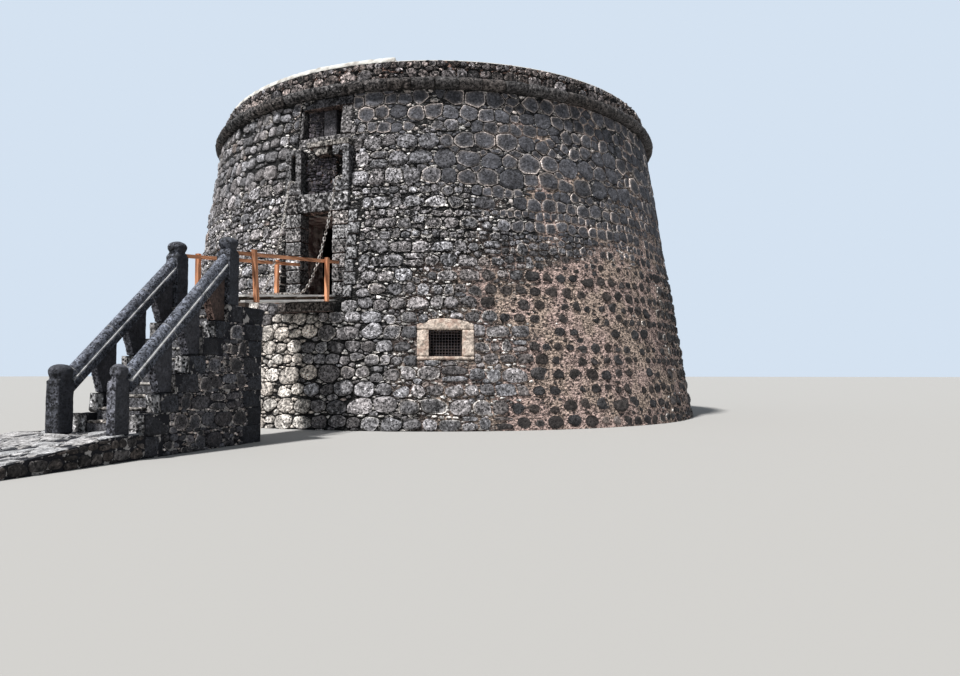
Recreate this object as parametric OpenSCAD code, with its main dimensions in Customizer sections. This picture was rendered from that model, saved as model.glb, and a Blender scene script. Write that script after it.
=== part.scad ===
// Round coastal tower of basalt rubble with a raised door, a stone stair and a timber gangway.
// The tower's axis is the Z axis, the ground is at z = 0 and the door looks along -Y.

/* [Tower wall] */
// Radius of the wall at the ground
base_radius = 8950; // [8500:50:9400]
// How far the wall leans in for each metre of height
wall_lean = 151; // [120:1:180]
// Thickness of the wall at the ground
wall_thickness = 2950; // [2600:50:3200]
// Width of the ledge that carries the main floor
floor_ledge = 200; // [160:5:260]
// Width of the ledge that carries the roof vault
vault_ledge = 300; // [200:5:400]

/* [Floors and vault] */
// Thickness of the ground floor
ground_floor_thickness = 150; // [100:10:300]
// Level of the main floor, which is the door sill
main_floor_level = 3430; // [3350:10:3500]
// Depth of the main floor where it sits on its ledge
floor_edge_depth = 600; // [450:10:700]
// Depth of the main floor at its centre
floor_centre_depth = 300; // [200:10:400]
// Height of the ledge that carries the roof vault
vault_seat = 6000; // [5800:50:6300]
// Thickness of the roof vault at its crown
crown_thickness = 660; // [400:10:900]
// How far the roof terrace lies under the cornice
terrace_drop = 60; // [20:5:200]

/* [Cornice and parapet] */
// How far the rounded cornice stands out from the head of the wall
cornice_overhang = 272; // [160:2:400]
// Height of the cornice stones
cornice_height = 280; // [220:10:340]
// Number of cornice stones
cornice_stones = 76; // [60:4:92]
// Open joint between two cornice stones
cornice_joint = 6; // [3:1:12]
// How far the parapet is set back from the head of the wall
parapet_setback = 88; // [20:2:180]
// Thickness of the parapet
parapet_thickness = 600; // [450:10:650]
// Height of the parapet
parapet_height = 550; // [400:10:900]
// Thickness of the lime coping on its thick stretch
coping_thick_height = 150; // [60:5:180]
// Thickness of the lime coping elsewhere
coping_thin_height = 18; // [10:1:35]

/* [Door] */
// Distance of the door's middle from the stair's middle line
door_x = -240; // [-300:10:-180]
// Width of the door opening
door_width = 940; // [860:10:1000]
// Height of the door opening
door_height = 2280; // [2100:10:2400]
// How far the portal's upright face stands out from the wall at the door's head
portal_proud = 32; // [10:2:80]
// Depth of the dressed stones of the portal
portal_depth = 370; // [300:10:420]
// Half the width of the portal
portal_half = 970; // [940:10:1000]
// Depth of the door jamb stones
jamb_depth = 470; // [400:10:560]
// Height of the pitted lintel over the door
lintel_height = 510; // [420:10:600]

/* [Bridge slots] */
// Joint between the lintel and the pilasters
pilaster_joint = 10; // [5:1:30]
// Height of the pilasters
pilaster_height = 1250; // [1150:10:1280]
// Width of each pilaster
pilaster_width = 490; // [440:5:500]
// Width of the slot in each pilaster
slot_width = 120; // [90:5:150]
// Height of the slot foot above the pilaster foot
slot_foot = 330; // [280:10:400]
// Height of the slot
slot_height = 760; // [600:10:800]
// Height of the ledge course on top of the portal
ledge_height = 160; // [120:5:180]

/* [Upper window] */
// Distance of the upper window's middle from the stair's middle line
upper_x = -350; // [-380:10:-320]
// Width of the upper window
upper_width = 1200; // [1100:10:1220]
// Height of the stone under the upper window
upper_sill_height = 260; // [150:10:400]
// Height of the upper window
upper_height = 840; // [700:10:950]
// Height of the lintel of the upper window, up to the cornice
upper_lintel_height = 280; // [200:10:400]
// Length of the slanted left end of that lintel
upper_lintel_slant = 560; // [300:10:700]
// Width of the left jamb of the upper window
upper_left_jamb = 130; // [100:5:160]
// Width of the right jamb of the upper window
upper_right_jamb = 350; // [250:5:360]
// How far the walled-up face is set back
upper_setback = 380; // [250:10:450]

/* [Barred windows] */
// Direction of the front window, turned from the door towards the right
window_turn = 23.1; // [21:0.1:24.5]
// Width of each window
window_width = 830; // [700:10:900]
// Height of each window
window_height = 670; // [550:10:750]
// Sill height of each window
window_sill = 1828; // [1700:1:1950]
// Width of the jamb stones
window_jamb = 300; // [240:10:330]
// Height of the lintel in its middle
window_lintel = 290; // [240:10:340]
// How far the lintel's curved top falls from its middle to its ends
window_lintel_fall = 150; // [80:10:170]
// Thickness of the window sill
window_sill_height = 90; // [60:5:120]
// How far the dressed stone stands out from the wall
window_proud = 12; // [5:1:30]

/* [Stair] */
// Half the width of the stair
stair_half = 790; // [750:5:830]
// Thickness of the stair's side walls
stair_wall = 320; // [280:5:340]
// Distance of the stair's foot from the tower's foot
approach_length = 6200; // [6000:10:6500]
// Length of each step of the side walls
side_step_length = 348; // [330:1:370]
// Height of each step of the side walls
side_step_height = 336; // [320:1:350]
// Height of the lowest step of the side walls
side_first_height = 720; // [690:5:760]
// Level of the foot of the stair
foot_level = 400; // [360:5:430]
// Number of risers
risers = 11; // [10:1:12]
// Thickness of the tread stones
tread_thickness = 60; // [45:5:90]
// Length of the landing behind the upper newels
landing_length = 1110; // [1000:10:1200]

/* [Stone rails] */
// Width of the newel posts
newel_width = 320; // [280:5:340]
// Width of the lower right newel, the narrowest one
narrow_newel_width = 190; // [180:5:300]
// Diameter of the ball on a newel
ball_diameter = 390; // [340:5:410]
// Diameter of the roll on top of the rails
roll_diameter = 200; // [170:5:220]
// Width of the flat slab under the roll
rail_width = 250; // [220:5:280]
// Depth of the flat slab under the roll
rail_slab = 150; // [120:5:180]
// Length of a baluster at its foot
baluster_foot = 300; // [260:5:330]
// Length of a baluster at its top
baluster_top = 460; // [400:5:500]
// Thickness of a baluster
baluster_thickness = 180; // [140:5:220]

/* [Gangway] */
// Width of the gangway
gangway_width = 1255; // [1150:5:1300]
// Gap between the portal and the gangway
gangway_gap = 180; // [100:10:300]
// How far the gangway reaches over the stair's landing
gangway_overlap = 148; // [100:2:250]
// Depth of the sleeper under the gangway's end
sleeper_depth = 148; // [80:2:220]
// Thickness of the planks
plank_thickness = 42; // [35:1:60]
// Depth of the cross bearers
bearer_depth = 75; // [60:5:100]
// Thickness of the stringers
stringer_thickness = 45; // [35:1:70]
// Width of the gangway posts
post_width = 90; // [70:5:110]
// Height of the handrail above the planks
handrail_height = 860; // [800:10:950]
// Depth of the handrails
handrail_depth = 75; // [60:5:90]

/* [Chains] */
// Thickness of the iron of a link
link_wire = 20; // [14:1:22]
// Inner length of a link
link_inner = 88; // [80:1:100]
// Outer width of a link
link_width = 72; // [66:1:84]

/* [Ramp] */
// Width of the ramp to the left of the stair's middle line
ramp_left = 1450; // [1200:10:1600]
// Width of the ramp to the right of the stair's middle line
ramp_right = 790; // [780:5:900]
// Length of the sloping part of the ramp
ramp_length = 2900; // [2500:50:3400]

/* [Hidden] */
$fn = 96;
ring_facets = 360;
seat = 0.3;
over = 60;
threshold_depth = 450;
ground_room_radius = base_radius - wall_thickness;
main_room_radius = ground_room_radius + floor_ledge;
vault_seat_radius = main_room_radius + vault_ledge;
outside_margin = 350;
outside = base_radius + outside_margin;
sill_wall_level = main_floor_level - threshold_depth;
door_top = main_floor_level + door_height;
portal_face = wall_r(door_top) + portal_proud;
portal_back = portal_face - portal_depth;
portal_left = door_x - portal_half;
portal_right = door_x + portal_half;
pilaster_foot = door_top + lintel_height + pilaster_joint;
ledge_foot = pilaster_foot + pilaster_height;
ledge_top = ledge_foot + ledge_height;
upper_sill = ledge_top + upper_sill_height;
upper_head = upper_sill + upper_height;
wall_height = upper_head + upper_lintel_height;
terrace_level = wall_height - terrace_drop;
vault_crown = terrace_level - crown_thickness;
cornice_radius = wall_r(wall_height) + cornice_overhang;
parapet_radius = wall_r(wall_height) - parapet_setback;
stair_front = base_radius + approach_length;
landing_steps = 6;
landing_level = side_first_height + landing_steps * side_step_height;
landing_edge = stair_front - landing_steps * side_step_length;
stair_back = landing_edge - landing_length;
newel_x = stair_half - stair_wall / 2;
newel_standoff = 250;
lower_newel_y = -stair_front - newel_standoff - newel_width / 2;
upper_newel_step = 6.55;
upper_newel_y = -stair_front + upper_newel_step * side_step_length;
lower_newel_height = 1160;
upper_newel_height = 1364;
flat_block_height = 885;
narrow_block_height = 905;
upper_block_height = 1114;
lower_ball_top = foot_level + lower_newel_height;
upper_ball_top = landing_level + upper_newel_height;
flat_block_top = foot_level + flat_block_height;
narrow_block_top = foot_level + narrow_block_height;
upper_block_top = landing_level + upper_block_height;
gangway_right = newel_x - newel_width / 2;
gangway_left = gangway_right - gangway_width;
gangway_inner = portal_face + gangway_gap;
gangway_outer = stair_back + gangway_overlap;
gangway_depth = plank_thickness + bearer_depth + stringer_thickness;
plank_step = 15;
gangway_top_level = main_floor_level + plank_step;
gangway_drop = gangway_top_level - gangway_depth - sleeper_depth - landing_level;
gangway_slope = atan2(gangway_drop, gangway_outer - gangway_inner);
plank_count = 6;
plank_gap = 11;

basalt = [0.24, 0.24, 0.25];
dark_basalt = [0.17, 0.17, 0.18];
ashlar = [0.33, 0.33, 0.34];
cream = [0.80, 0.74, 0.62];
lime = [0.90, 0.89, 0.85];
timber = [0.62, 0.38, 0.20];
rust = [0.30, 0.20, 0.15];
paving = [0.45, 0.43, 0.41];

// Radius of the leaning wall at a height
function wall_r(z) = base_radius - wall_lean * z / 1000;

// The solid cone of the wall's outer face, moved out by a distance
module wall_cone(out = 0) {
    cylinder(h = wall_height, r1 = wall_r(0) + out, r2 = wall_r(wall_height) + out, $fn = ring_facets);
}

// A box given by its lowest and highest corners
module block(low, high) {
    translate(low) cube([high[0] - low[0], high[1] - low[1], high[2] - low[2]]);
}

// Part of the ring wall between two angles, with its two ledges inside
module wall_ring(start, end) {
    rotate([0, 0, start])
        rotate_extrude(angle = end - start, $fn = ring_facets)
            polygon([
                [ground_room_radius, 0],
                [wall_r(0), 0],
                [wall_r(wall_height), wall_height],
                [vault_seat_radius, wall_height],
                [vault_seat_radius, vault_seat],
                [main_room_radius, vault_seat],
                [main_room_radius, main_floor_level - floor_edge_depth],
                [ground_room_radius, main_floor_level - floor_edge_depth]
            ]);
}

// Angle of the middle of each barred window
window_angles = [window_turn - 90, window_turn + 30, window_turn + 150];
window_run_through = 200;
window_inner = ground_room_radius - window_run_through;
window_stone_depth = 300;
window_pocket = wall_r(window_sill) - window_stone_depth;
window_straight = 200;
window_splay = 300;

module at_window(k) {
    rotate([0, 0, window_angles[k] + 90]) children();
}

// The room of a window's lintel, with its curved top, less a margin at its sides, back and top
module lintel_room(margin) {
    side = window_width / 2 + window_jamb;
    head = window_sill + window_height;
    curve = (side * side + window_lintel_fall * window_lintel_fall) / (2 * window_lintel_fall);
    intersection() {
        block([-side + margin, -outside, head],
              [side - margin, -window_pocket - margin, head + window_lintel]);
        translate([0, -window_inner, head + window_lintel - curve])
            rotate([90, 0, 0])
                cylinder(h = outside, r = curve - margin, $fn = ring_facets);
    }
}

// The splayed tunnel of a window and the pocket for its dressed stones
module window_cut() {
    half = window_width / 2;
    translate([0, 0, window_sill])
        linear_extrude(window_height)
            polygon([
                [-half, -outside], [half, -outside],
                [half, -window_pocket + window_straight], [half + window_splay, -window_inner],
                [-half - window_splay, -window_inner], [-half, -window_pocket + window_straight]
            ]);
    block([-half - window_jamb, -outside, window_sill - window_sill_height],
          [half + window_jamb, -window_pocket, window_sill + window_height]);
    lintel_room(0);
}

// The dressed frame of a window: two jambs, a sill and a lintel with a curved top
module window_stones() {
    half = window_width / 2;
    side = half + window_jamb - seat;
    head = window_sill + window_height;
    intersection() {
        wall_cone(window_proud);
        union() {
            block([-side, -outside, window_sill + seat], [-half, -window_pocket - seat, head - seat]);
            block([half, -outside, window_sill + seat], [side, -window_pocket - seat, head - seat]);
            block([-side, -outside, window_sill - window_sill_height + seat],
                  [side, -window_pocket - seat, window_sill]);
            lintel_room(seat);
        }
    }
}

module window_front() color(cream) at_window(0) window_stones();
module window_rear() color(cream) at_window(1) window_stones();
module window_left() color(cream) at_window(2) window_stones();

module wall_piece(start, end) {
    color(basalt) wall_ring(start, end);
}

module holed_wall_piece(start, end, k) {
    color(basalt)
        difference() {
            wall_ring(start, end);
            at_window(k) window_cut();
        }
}

module wall_front_right() holed_wall_piece(-75, -45, 0);
module wall_right_front() wall_piece(-45, -5);
module wall_right() wall_piece(-5, 35);
module wall_rear_right() holed_wall_piece(35, 75, 1);
module wall_rear() wall_piece(75, 115);
module wall_rear_left() wall_piece(115, 155);
module wall_left() holed_wall_piece(155, 195, 2);
module wall_left_front() wall_piece(195, 225);
module wall_front_left() wall_piece(225, 255);

// The passage of the door through the whole wall
module door_passage() {
    block([door_x - door_width / 2, -outside, main_floor_level],
          [door_x + door_width / 2, -window_inner, door_top]);
}

// The upright pocket that holds the portal's dressed stones
module portal_pocket() {
    block([portal_left, -outside, sill_wall_level],
          [portal_right, -portal_face + jamb_depth, door_top]);
    block([portal_left, -outside, door_top],
          [portal_right, -portal_back, ledge_top]);
}

module door_side_wall(low_x, high_x) {
    color(basalt)
        difference() {
            intersection() {
                wall_ring(-105, -75);
                block([low_x, -outside, sill_wall_level], [high_x, 0, wall_height]);
            }
            door_passage();
        }
}

module wall_door_left() door_side_wall(-outside, portal_left);
module wall_door_right() door_side_wall(portal_right, outside);

module wall_under_door() {
    color(basalt)
        intersection() {
            wall_ring(-105, -75);
            block([-outside, -outside, 0], [outside, 0, sill_wall_level]);
        }
}

upper_half = upper_width / 2;
upper_left = upper_x - upper_half;
upper_right = upper_x + upper_half;
upper_depth = 900;
upper_back = wall_r(upper_sill) - upper_depth;
upper_lintel_end = 60;

// The room of the upper window's lintel, with its slanted left end, less a margin at its sides and back
module upper_lintel_room(margin) {
    left = upper_left - upper_left_jamb + margin;
    right = upper_right + upper_right_jamb - margin;
    translate([0, -upper_back - margin, 0])
        rotate([90, 0, 0])
            linear_extrude(outside)
                polygon([
                    [left, upper_head], [right, upper_head], [right, wall_height + over],
                    [left + upper_lintel_slant, wall_height + over], [left + upper_lintel_slant, wall_height],
                    [left, upper_head + upper_lintel_end]
                ]);
}

// The opening of the upper window with the room for its dressed stones
module upper_window_cut() {
    block([upper_left - upper_left_jamb, -outside, ledge_top],
          [upper_right + upper_right_jamb, -upper_back, upper_head]);
    upper_lintel_room(0);
}

// A slot with a round head, as deep as given, from the face of its stone backwards
module slot_shape(depth) {
    head = slot_foot + slot_height - slot_width / 2;
    translate([0, -depth, 0])
        block([-slot_width / 2, 0, slot_foot], [slot_width / 2, depth, head]);
    translate([0, 0, head])
        rotate([90, 0, 0])
            cylinder(h = depth, d = slot_width, $fn = 48);
}

slot_offset = portal_half - pilaster_width / 2;
slot_wall_depth = 600;

module slot_cuts() {
    for (side = [-1, 1])
        translate([door_x + side * slot_offset, -portal_back + slot_wall_depth, pilaster_foot])
            slot_shape(slot_wall_depth + portal_depth + over);
}

module wall_over_door() {
    color(basalt)
        difference() {
            intersection() {
                wall_ring(-105, -75);
                block([portal_left, -outside, door_top], [portal_right, 0, wall_height]);
            }
            portal_pocket();
            upper_window_cut();
            slot_cuts();
        }
}

corbel_half = 800;
corbel_reach = 600;
corbel_front = portal_face + corbel_reach;
corbel_top = gangway_underside(corbel_front) - seat;

// The wall between the two sides under the door, with a notch for the corbel
module threshold() {
    color(basalt)
        difference() {
            intersection() {
                wall_ring(-105, -75);
                block([portal_left, -outside, sill_wall_level], [portal_right, 0, main_floor_level]);
            }
            block([portal_left - over, -outside, corbel_top],
                  [portal_right + over, -portal_face, wall_height]);
            block([door_x - corbel_half, -outside, 0],
                  [door_x + corbel_half, -portal_face, wall_height]);
        }
}

module threshold_corbel() {
    color(ashlar)
        block([door_x - corbel_half + seat, -corbel_front, sill_wall_level],
              [door_x + corbel_half - seat, -portal_face - seat, corbel_top]);
}

module ground_floor() {
    color(paving) cylinder(h = ground_floor_thickness, r = ground_room_radius - seat, $fn = 180);
}

floor_bearing = 150;
vault_bearing = 200;
dome_bands = 12;

// The main floor is a shallow dome that springs from the ledge of the wall
module main_floor() {
    edge = main_floor_level - floor_edge_depth;
    rise = floor_edge_depth - floor_centre_depth;
    springing = ground_room_radius - floor_bearing;
    dome_radius = (springing * springing + rise * rise) / (2 * rise);
    sweep = asin(springing / dome_radius);
    color(ashlar)
        rotate_extrude($fn = ring_facets / 2)
            polygon(concat(
                [for (k = [0 : dome_bands])
                    let (tilt = sweep * k / dome_bands)
                    [dome_radius * sin(tilt), edge + rise - dome_radius * (1 - cos(tilt))]],
                [[main_room_radius - seat, edge], [main_room_radius - seat, main_floor_level],
                 [0, main_floor_level]]
            ));
}

// The space under a dome, from its springing up to its crown
module domed_room(radius, edge, crown) {
    rise = crown - edge;
    dome_radius = (radius * radius + rise * rise) / (2 * rise);
    intersection() {
        translate([0, 0, crown - dome_radius]) sphere(r = dome_radius, $fn = 180);
        translate([0, 0, edge - over]) cylinder(h = crown - edge + 2 * over, r = radius + over, $fn = 180);
    }
}

// The roof vault bears on the upper ledge and carries the terrace
module roof_vault() {
    color(ashlar)
        difference() {
            translate([0, 0, vault_seat])
                cylinder(h = terrace_level - vault_seat, r = vault_seat_radius - seat, $fn = 180);
            domed_room(main_room_radius - vault_bearing, vault_seat, vault_crown);
        }
}

cornice_top = wall_height + cornice_height;
parapet_inner = parapet_radius - parapet_thickness;
parapet_top = cornice_top + parapet_height;

// One cornice stone: a flat bed with a half-round nose
module cornice_stone(sweep) {
    nose = cornice_height / 2;
    rotate_extrude(angle = sweep) {
        translate([parapet_inner, wall_height])
            square([cornice_radius - nose - parapet_inner, cornice_height]);
        intersection() {
            translate([cornice_radius - nose, wall_height + nose]) circle(r = nose, $fn = 48);
            translate([cornice_radius - nose, wall_height]) square([nose, cornice_height]);
        }
    }
}

module cornice_quarter(start) {
    pitch = 360 / cornice_stones;
    gap = cornice_joint / cornice_radius * 180 / PI;
    color(dark_basalt)
        for (k = [0 : cornice_stones / 4 - 1])
            rotate([0, 0, start + k * pitch + gap / 2])
                cornice_stone(pitch - gap);
}

module cornice_front() cornice_quarter(-135);
module cornice_right() cornice_quarter(-45);
module cornice_rear() cornice_quarter(45);
module cornice_left() cornice_quarter(135);

module parapet() {
    color(basalt)
        rotate_extrude()
            translate([parapet_inner, cornice_top])
                square([parapet_thickness, parapet_height]);
}

thick_start = 158;
thick_end = 283;

module coping_arc(start, end, height) {
    rotate([0, 0, start])
        rotate_extrude(angle = end - start, $fn = ring_facets)
            translate([parapet_inner, parapet_top])
                polygon([
                    [0, 0], [parapet_thickness, 0], [parapet_thickness - height / 3, height],
                    [height / 3, height]
                ]);
}

module coping_thick() color(lime) coping_arc(thick_start, thick_end, coping_thick_height);
module coping_thin() color(lime) coping_arc(thick_end - 360, thick_start, coping_thin_height);

jamb_courses = 6;
short_course = 10;
lintel_split = 400;
lintel_proud = 15;

// The jambs of the door: courses of long and short blocks on either side
module door_jambs() {
    top = door_top;
    foot = main_floor_level;
    course = (top - foot) / jamb_courses;
    color(ashlar)
        for (side = [0, 1], k = [0 : jamb_courses - 1]) {
            low_x = side == 0 ? portal_left + seat : door_x + door_width / 2;
            high_x = side == 0 ? door_x - door_width / 2 : portal_right - seat;
            setback = (k + side) % 2 == 0 ? 0 : short_course;
            block([low_x, -portal_face + setback, foot + k * course + seat],
                  [high_x, -portal_face + jamb_depth - seat, foot + (k + 1) * course - seat]);
        }
}

module door_lintel() {
    color(ashlar)
        block([portal_left + lintel_split, -portal_face - lintel_proud, door_top + seat],
              [portal_right - seat, -portal_back - seat, door_top + lintel_height]);
    color(ashlar)
        block([portal_left + seat, -portal_face, door_top + seat],
              [portal_left + lintel_split - seat, -portal_back - seat, door_top + lintel_height]);
}

module pilaster_body(height) {
    half = pilaster_width / 2;
    difference() {
        block([-half + seat, -portal_depth, seat], [half - seat, -seat, height - seat]);
        translate([0, over, 0]) slot_shape(portal_depth + 2 * over);
    }
}

module left_pilaster() {
    color(ashlar)
        translate([door_x - slot_offset, -portal_back, pilaster_foot])
            pilaster_body(pilaster_height);
}

broken_foot = 340;
broken_head = 980;

// The inner leaf of the right pilaster is broken away beside its slot
module right_pilaster() {
    half = pilaster_width / 2;
    color(ashlar)
        translate([door_x + slot_offset, -portal_back, pilaster_foot])
            difference() {
                pilaster_body(pilaster_height);
                block([-half - over, -portal_depth - over, broken_foot],
                      [-slot_width / 2 + seat, over, broken_head]);
            }
}

// What is left of the flat arch between the pilasters, from the portal's middle line
arch_reach = slot_offset - pilaster_width / 2;
ledge_gap = 160;
ledge_proud = 10;
wedge_setback = 40;
wedge_left = -190;
wedge_right = 330;
wedge_left_tip = -40;
wedge_right_tip = 300;
wedge_drop = 200;
wedge_tip_drop = 230;
infill_proud = 90;
infill_drop = 240;

module arch_stones() {
    color(ashlar) {
        block([door_x - arch_reach + ledge_gap, -portal_face, ledge_foot + seat],
              [door_x + arch_reach, -portal_back - seat, ledge_top - seat]);
        translate([door_x, -portal_back - seat, ledge_foot])
            rotate([90, 0, 0])
                linear_extrude(portal_depth - wedge_setback)
                    polygon([
                        [wedge_left, 0], [wedge_right, 0],
                        [wedge_right_tip, -wedge_drop], [wedge_left_tip, -wedge_tip_drop]
                    ]);
        block([door_x + arch_reach + seat, -portal_face - ledge_proud, ledge_foot + seat],
              [portal_right - seat, -portal_back - seat, ledge_top - seat]);
    }
}

// The rubble face left in the recess between the pilasters
module portal_infill() {
    color(basalt)
        block([door_x - arch_reach + seat, -portal_back - infill_proud, door_top + lintel_height + seat],
              [door_x + arch_reach - seat, -portal_back - seat, ledge_foot - infill_drop]);
}

frame_proud = 8;

// The stones of the upper window: two jambs, a sill and a lintel up to the cornice with a slanted left end
module upper_window_frame() {
    outer_left = upper_left - upper_left_jamb + seat;
    outer_right = upper_right + upper_right_jamb - seat;
    back = -upper_back - seat;
    color(ashlar)
        intersection() {
            wall_cone(frame_proud);
            union() {
                block([outer_left, -outside, upper_sill + seat], [upper_left, back, upper_head - seat]);
                block([upper_right, -outside, upper_sill + seat], [outer_right, back, upper_head - seat]);
                block([outer_left, -outside, ledge_top + seat], [outer_right, back, upper_sill]);
                upper_lintel_room(seat);
            }
        }
}

upper_block_left = 700;
upper_block_right = 290;
upper_block_proud = 30;

// The walled-up face of the upper window: rubble, and one smooth block on its right
module upper_window_infill() {
    face = wall_r(upper_sill) - upper_setback;
    color(basalt)
        block([upper_left + seat, -face, upper_sill + seat],
              [upper_right - upper_block_left - seat, -upper_back - seat, upper_head - seat]);
    color(ashlar)
        block([upper_right - upper_block_left, -face - upper_block_proud, upper_sill + seat],
              [upper_right - upper_block_right, -upper_back - seat, upper_head - seat]);
}

step_run = (stair_front - landing_edge) / (risers - 1);
step_rise = (landing_level - foot_level) / risers;
inner_half = stair_half - stair_wall;

// Profile of the stepped core under the treads, with y along x and z along y
module core_profile() {
    polygon(concat(
        [[-stair_front, 0]],
        [for (k = [0 : risers - 1], corner = [0, 1])
            [-stair_front + (k + corner) * step_run - (k == risers - 1 && corner == 1 ? step_run : 0),
             foot_level + (k + 1) * step_rise - tread_thickness]],
        [[-stair_back, landing_level - tread_thickness], [-stair_back, 0]]
    ));
}

// Stands a profile drawn in the YZ plane between two x values
module along_x(low_x, high_x) {
    translate([low_x, 0, 0])
        rotate([90, 0, 90])
            linear_extrude(high_x - low_x)
                children();
}

module stair_core() {
    color(basalt) along_x(-inner_half + seat, inner_half - seat) core_profile();
}

nosing = 20;

module stair_treads() {
    color(ashlar)
        for (k = [0 : risers - 1]) {
            front = -stair_front + k * step_run - nosing;
            back = k == risers - 1 ? -stair_back : front + step_run - seat;
            top = foot_level + (k + 1) * step_rise;
            block([-inner_half + seat, front, top - tread_thickness + seat], [inner_half - seat, back, top]);
        }
}

// Profile of a side wall with its steps up to the landing
module side_profile() {
    polygon(concat(
        [[-stair_front, 0]],
        [for (k = [0 : landing_steps], corner = [0, 1])
            [-stair_front + (k + corner) * side_step_length, side_first_height + k * side_step_height]],
        [[-stair_back, landing_level], [-stair_back, 0]]
    ));
}

module stair_wall_right() color(ashlar) along_x(inner_half, stair_half) side_profile();
module stair_wall_left() color(ashlar) along_x(-stair_half, -inner_half) side_profile();

ball_bands = 8;
ball_sink = 20;

// Profile of a ball that sits on a newel, with its widest part at its own height
function ball_profile(block_top, middle, ball_top, ball, contact) =
    let (
        start = acos(2 * contact / ball),
        low = (middle - block_top) / sin(start),
        cap = ball_top - middle
    )
    concat(
        [[0, block_top - ball_sink], [contact, block_top - ball_sink]],
        [for (k = [0 : ball_bands - 1])
            let (turn = -start + (90 + start) * k / ball_bands)
            [ball / 2 * cos(turn), middle + (turn < 0 ? low : cap) * sin(turn)]],
        [[0, ball_top]]
    );

// Half of a newel's upright outline: straight sides and a chamfered shoulder
function newel_outline(half, foot, top, chamfer, shoulder) =
    [[-half, foot], [half, foot], [half, top - shoulder], [half - chamfer, top],
     [chamfer - half, top], [-half, top - shoulder]];

// A newel block, chamfered on all four sides where it has a shoulder
module newel_block(width, foot, top, chamfer, shoulder) {
    if (chamfer == 0)
        translate([-width / 2, -newel_width / 2, foot]) cube([width, newel_width, top - foot]);
    else
        intersection() {
            along_x(-width / 2, width / 2)
                polygon(newel_outline(newel_width / 2, foot, top, chamfer, shoulder));
            rotate([90, 0, 0])
                linear_extrude(newel_width, center = true)
                    polygon(newel_outline(width / 2, foot, top, chamfer, shoulder));
        }
}

module newel_ball(block_top, middle, ball_top, ball, contact) {
    rotate_extrude($fn = 48) polygon(ball_profile(block_top, middle, ball_top, ball, contact));
}

upper_chamfer = 38;
upper_shoulder = 78;
upper_contact = 118;

module upper_newel(side) {
    translate([side * newel_x, upper_newel_y, 0]) {
        newel_block(newel_width, landing_level + seat, upper_block_top, upper_chamfer, upper_shoulder);
        newel_ball(upper_block_top, (upper_block_top + upper_ball_top) / 2, upper_ball_top, ball_diameter,
                   upper_contact);
    }
}

narrow_chamfer = 25;
narrow_shoulder = 45;
narrow_contact = 66;
small_ball = 286;
small_ball_height = 1028;
small_ball_middle = foot_level + small_ball_height;

// The right newels: below, a narrow block under a small round ball
module newels_right() {
    color(dark_basalt) {
        translate([newel_x, lower_newel_y, 0]) {
            newel_block(narrow_newel_width, foot_level + seat, narrow_block_top, narrow_chamfer,
                        narrow_shoulder);
            newel_ball(narrow_block_top, small_ball_middle, lower_ball_top, small_ball, narrow_contact);
        }
        upper_newel(1);
    }
}

flat_newel_width = 290;
flat_contact = 138;
flat_ball_height = 1040;
flat_ball_middle = foot_level + flat_ball_height;

// The left newels: below, a plain block under a wide flattened ball
module newels_left() {
    color(dark_basalt) {
        translate([-newel_x, lower_newel_y, 0]) {
            newel_block(flat_newel_width, foot_level + seat, flat_block_top, 0, 0);
            newel_ball(flat_block_top, flat_ball_middle, lower_ball_top, ball_diameter, flat_contact);
        }
        upper_newel(-1);
    }
}

// The stone rail climbs from the lower newel to the upper one
lower_rail_height = 1110;
upper_rail_height = 1004;
lower_rail_top = foot_level + lower_rail_height;
upper_rail_top = landing_level + upper_rail_height;
rail_start = [lower_newel_y + newel_width / 2 + seat, lower_rail_top];
rail_end = [upper_newel_y - newel_width / 2 - seat, upper_rail_top];
rail_rise = rail_end[1] - rail_start[1];
rail_run = rail_end[0] - rail_start[0];
rail_angle = atan2(rail_rise, rail_run);
roll_share = 0.75;
rail_depth = rail_slab + roll_diameter * roll_share;

// Height of the top line and of the underside of the stone rail
function rail_top(y) = rail_start[1] + (y - rail_start[0]) * rail_rise / rail_run;
function rail_under(y) = rail_top(y) - rail_depth / cos(rail_angle);

module stone_rail(side) {
    length = sqrt(rail_rise * rail_rise + rail_run * rail_run);
    color(dark_basalt)
        intersection() {
            translate([side * newel_x, rail_start[0], rail_start[1]])
                rotate([rail_angle, 0, 0])
                    translate([0, -rail_depth, 0]) {
                        block([-rail_width / 2, 0, -rail_depth],
                              [rail_width / 2, length + 2 * rail_depth, -rail_depth + rail_slab]);
                        translate([0, 0, -roll_diameter / 2])
                            rotate([-90, 0, 0])
                                cylinder(h = length + 2 * rail_depth, d = roll_diameter, $fn = 48);
                    }
            block([side * newel_x - rail_width, rail_start[0], 0],
                  [side * newel_x + rail_width, rail_end[0], upper_ball_top]);
        }
}

module stone_rail_right() stone_rail(1);
module stone_rail_left() stone_rail(-1);

arris = 10;

// A baluster is a slab with an upright back, a slanting front and a top cut to the rail
module baluster(step) {
    back = -stair_front + (step + 1) * side_step_length;
    foot = side_first_height + step * side_step_height + seat;
    top_back = rail_under(back) - seat;
    top_front = rail_under(back - baluster_top) - seat;
    polygon([
        [back - baluster_foot, foot], [back, foot], [back, top_back],
        [back - baluster_top, top_front], [back - baluster_top + arris, top_front - 6 * arris]
    ]);
}

module balusters(side) {
    color(dark_basalt)
        for (step = [1, 3, 5])
            along_x(side * newel_x - baluster_thickness / 2, side * newel_x + baluster_thickness / 2)
                baluster(step);
}

module balusters_right() balusters(1);
module balusters_left() balusters(-1);

// Height of the gangway's walking face and underside at a distance from the tower's axis
function gangway_top(distance) = gangway_top_level - (distance - gangway_inner) * tan(gangway_slope);
function gangway_underside(distance) = gangway_top(distance) - gangway_depth / cos(gangway_slope);

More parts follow.
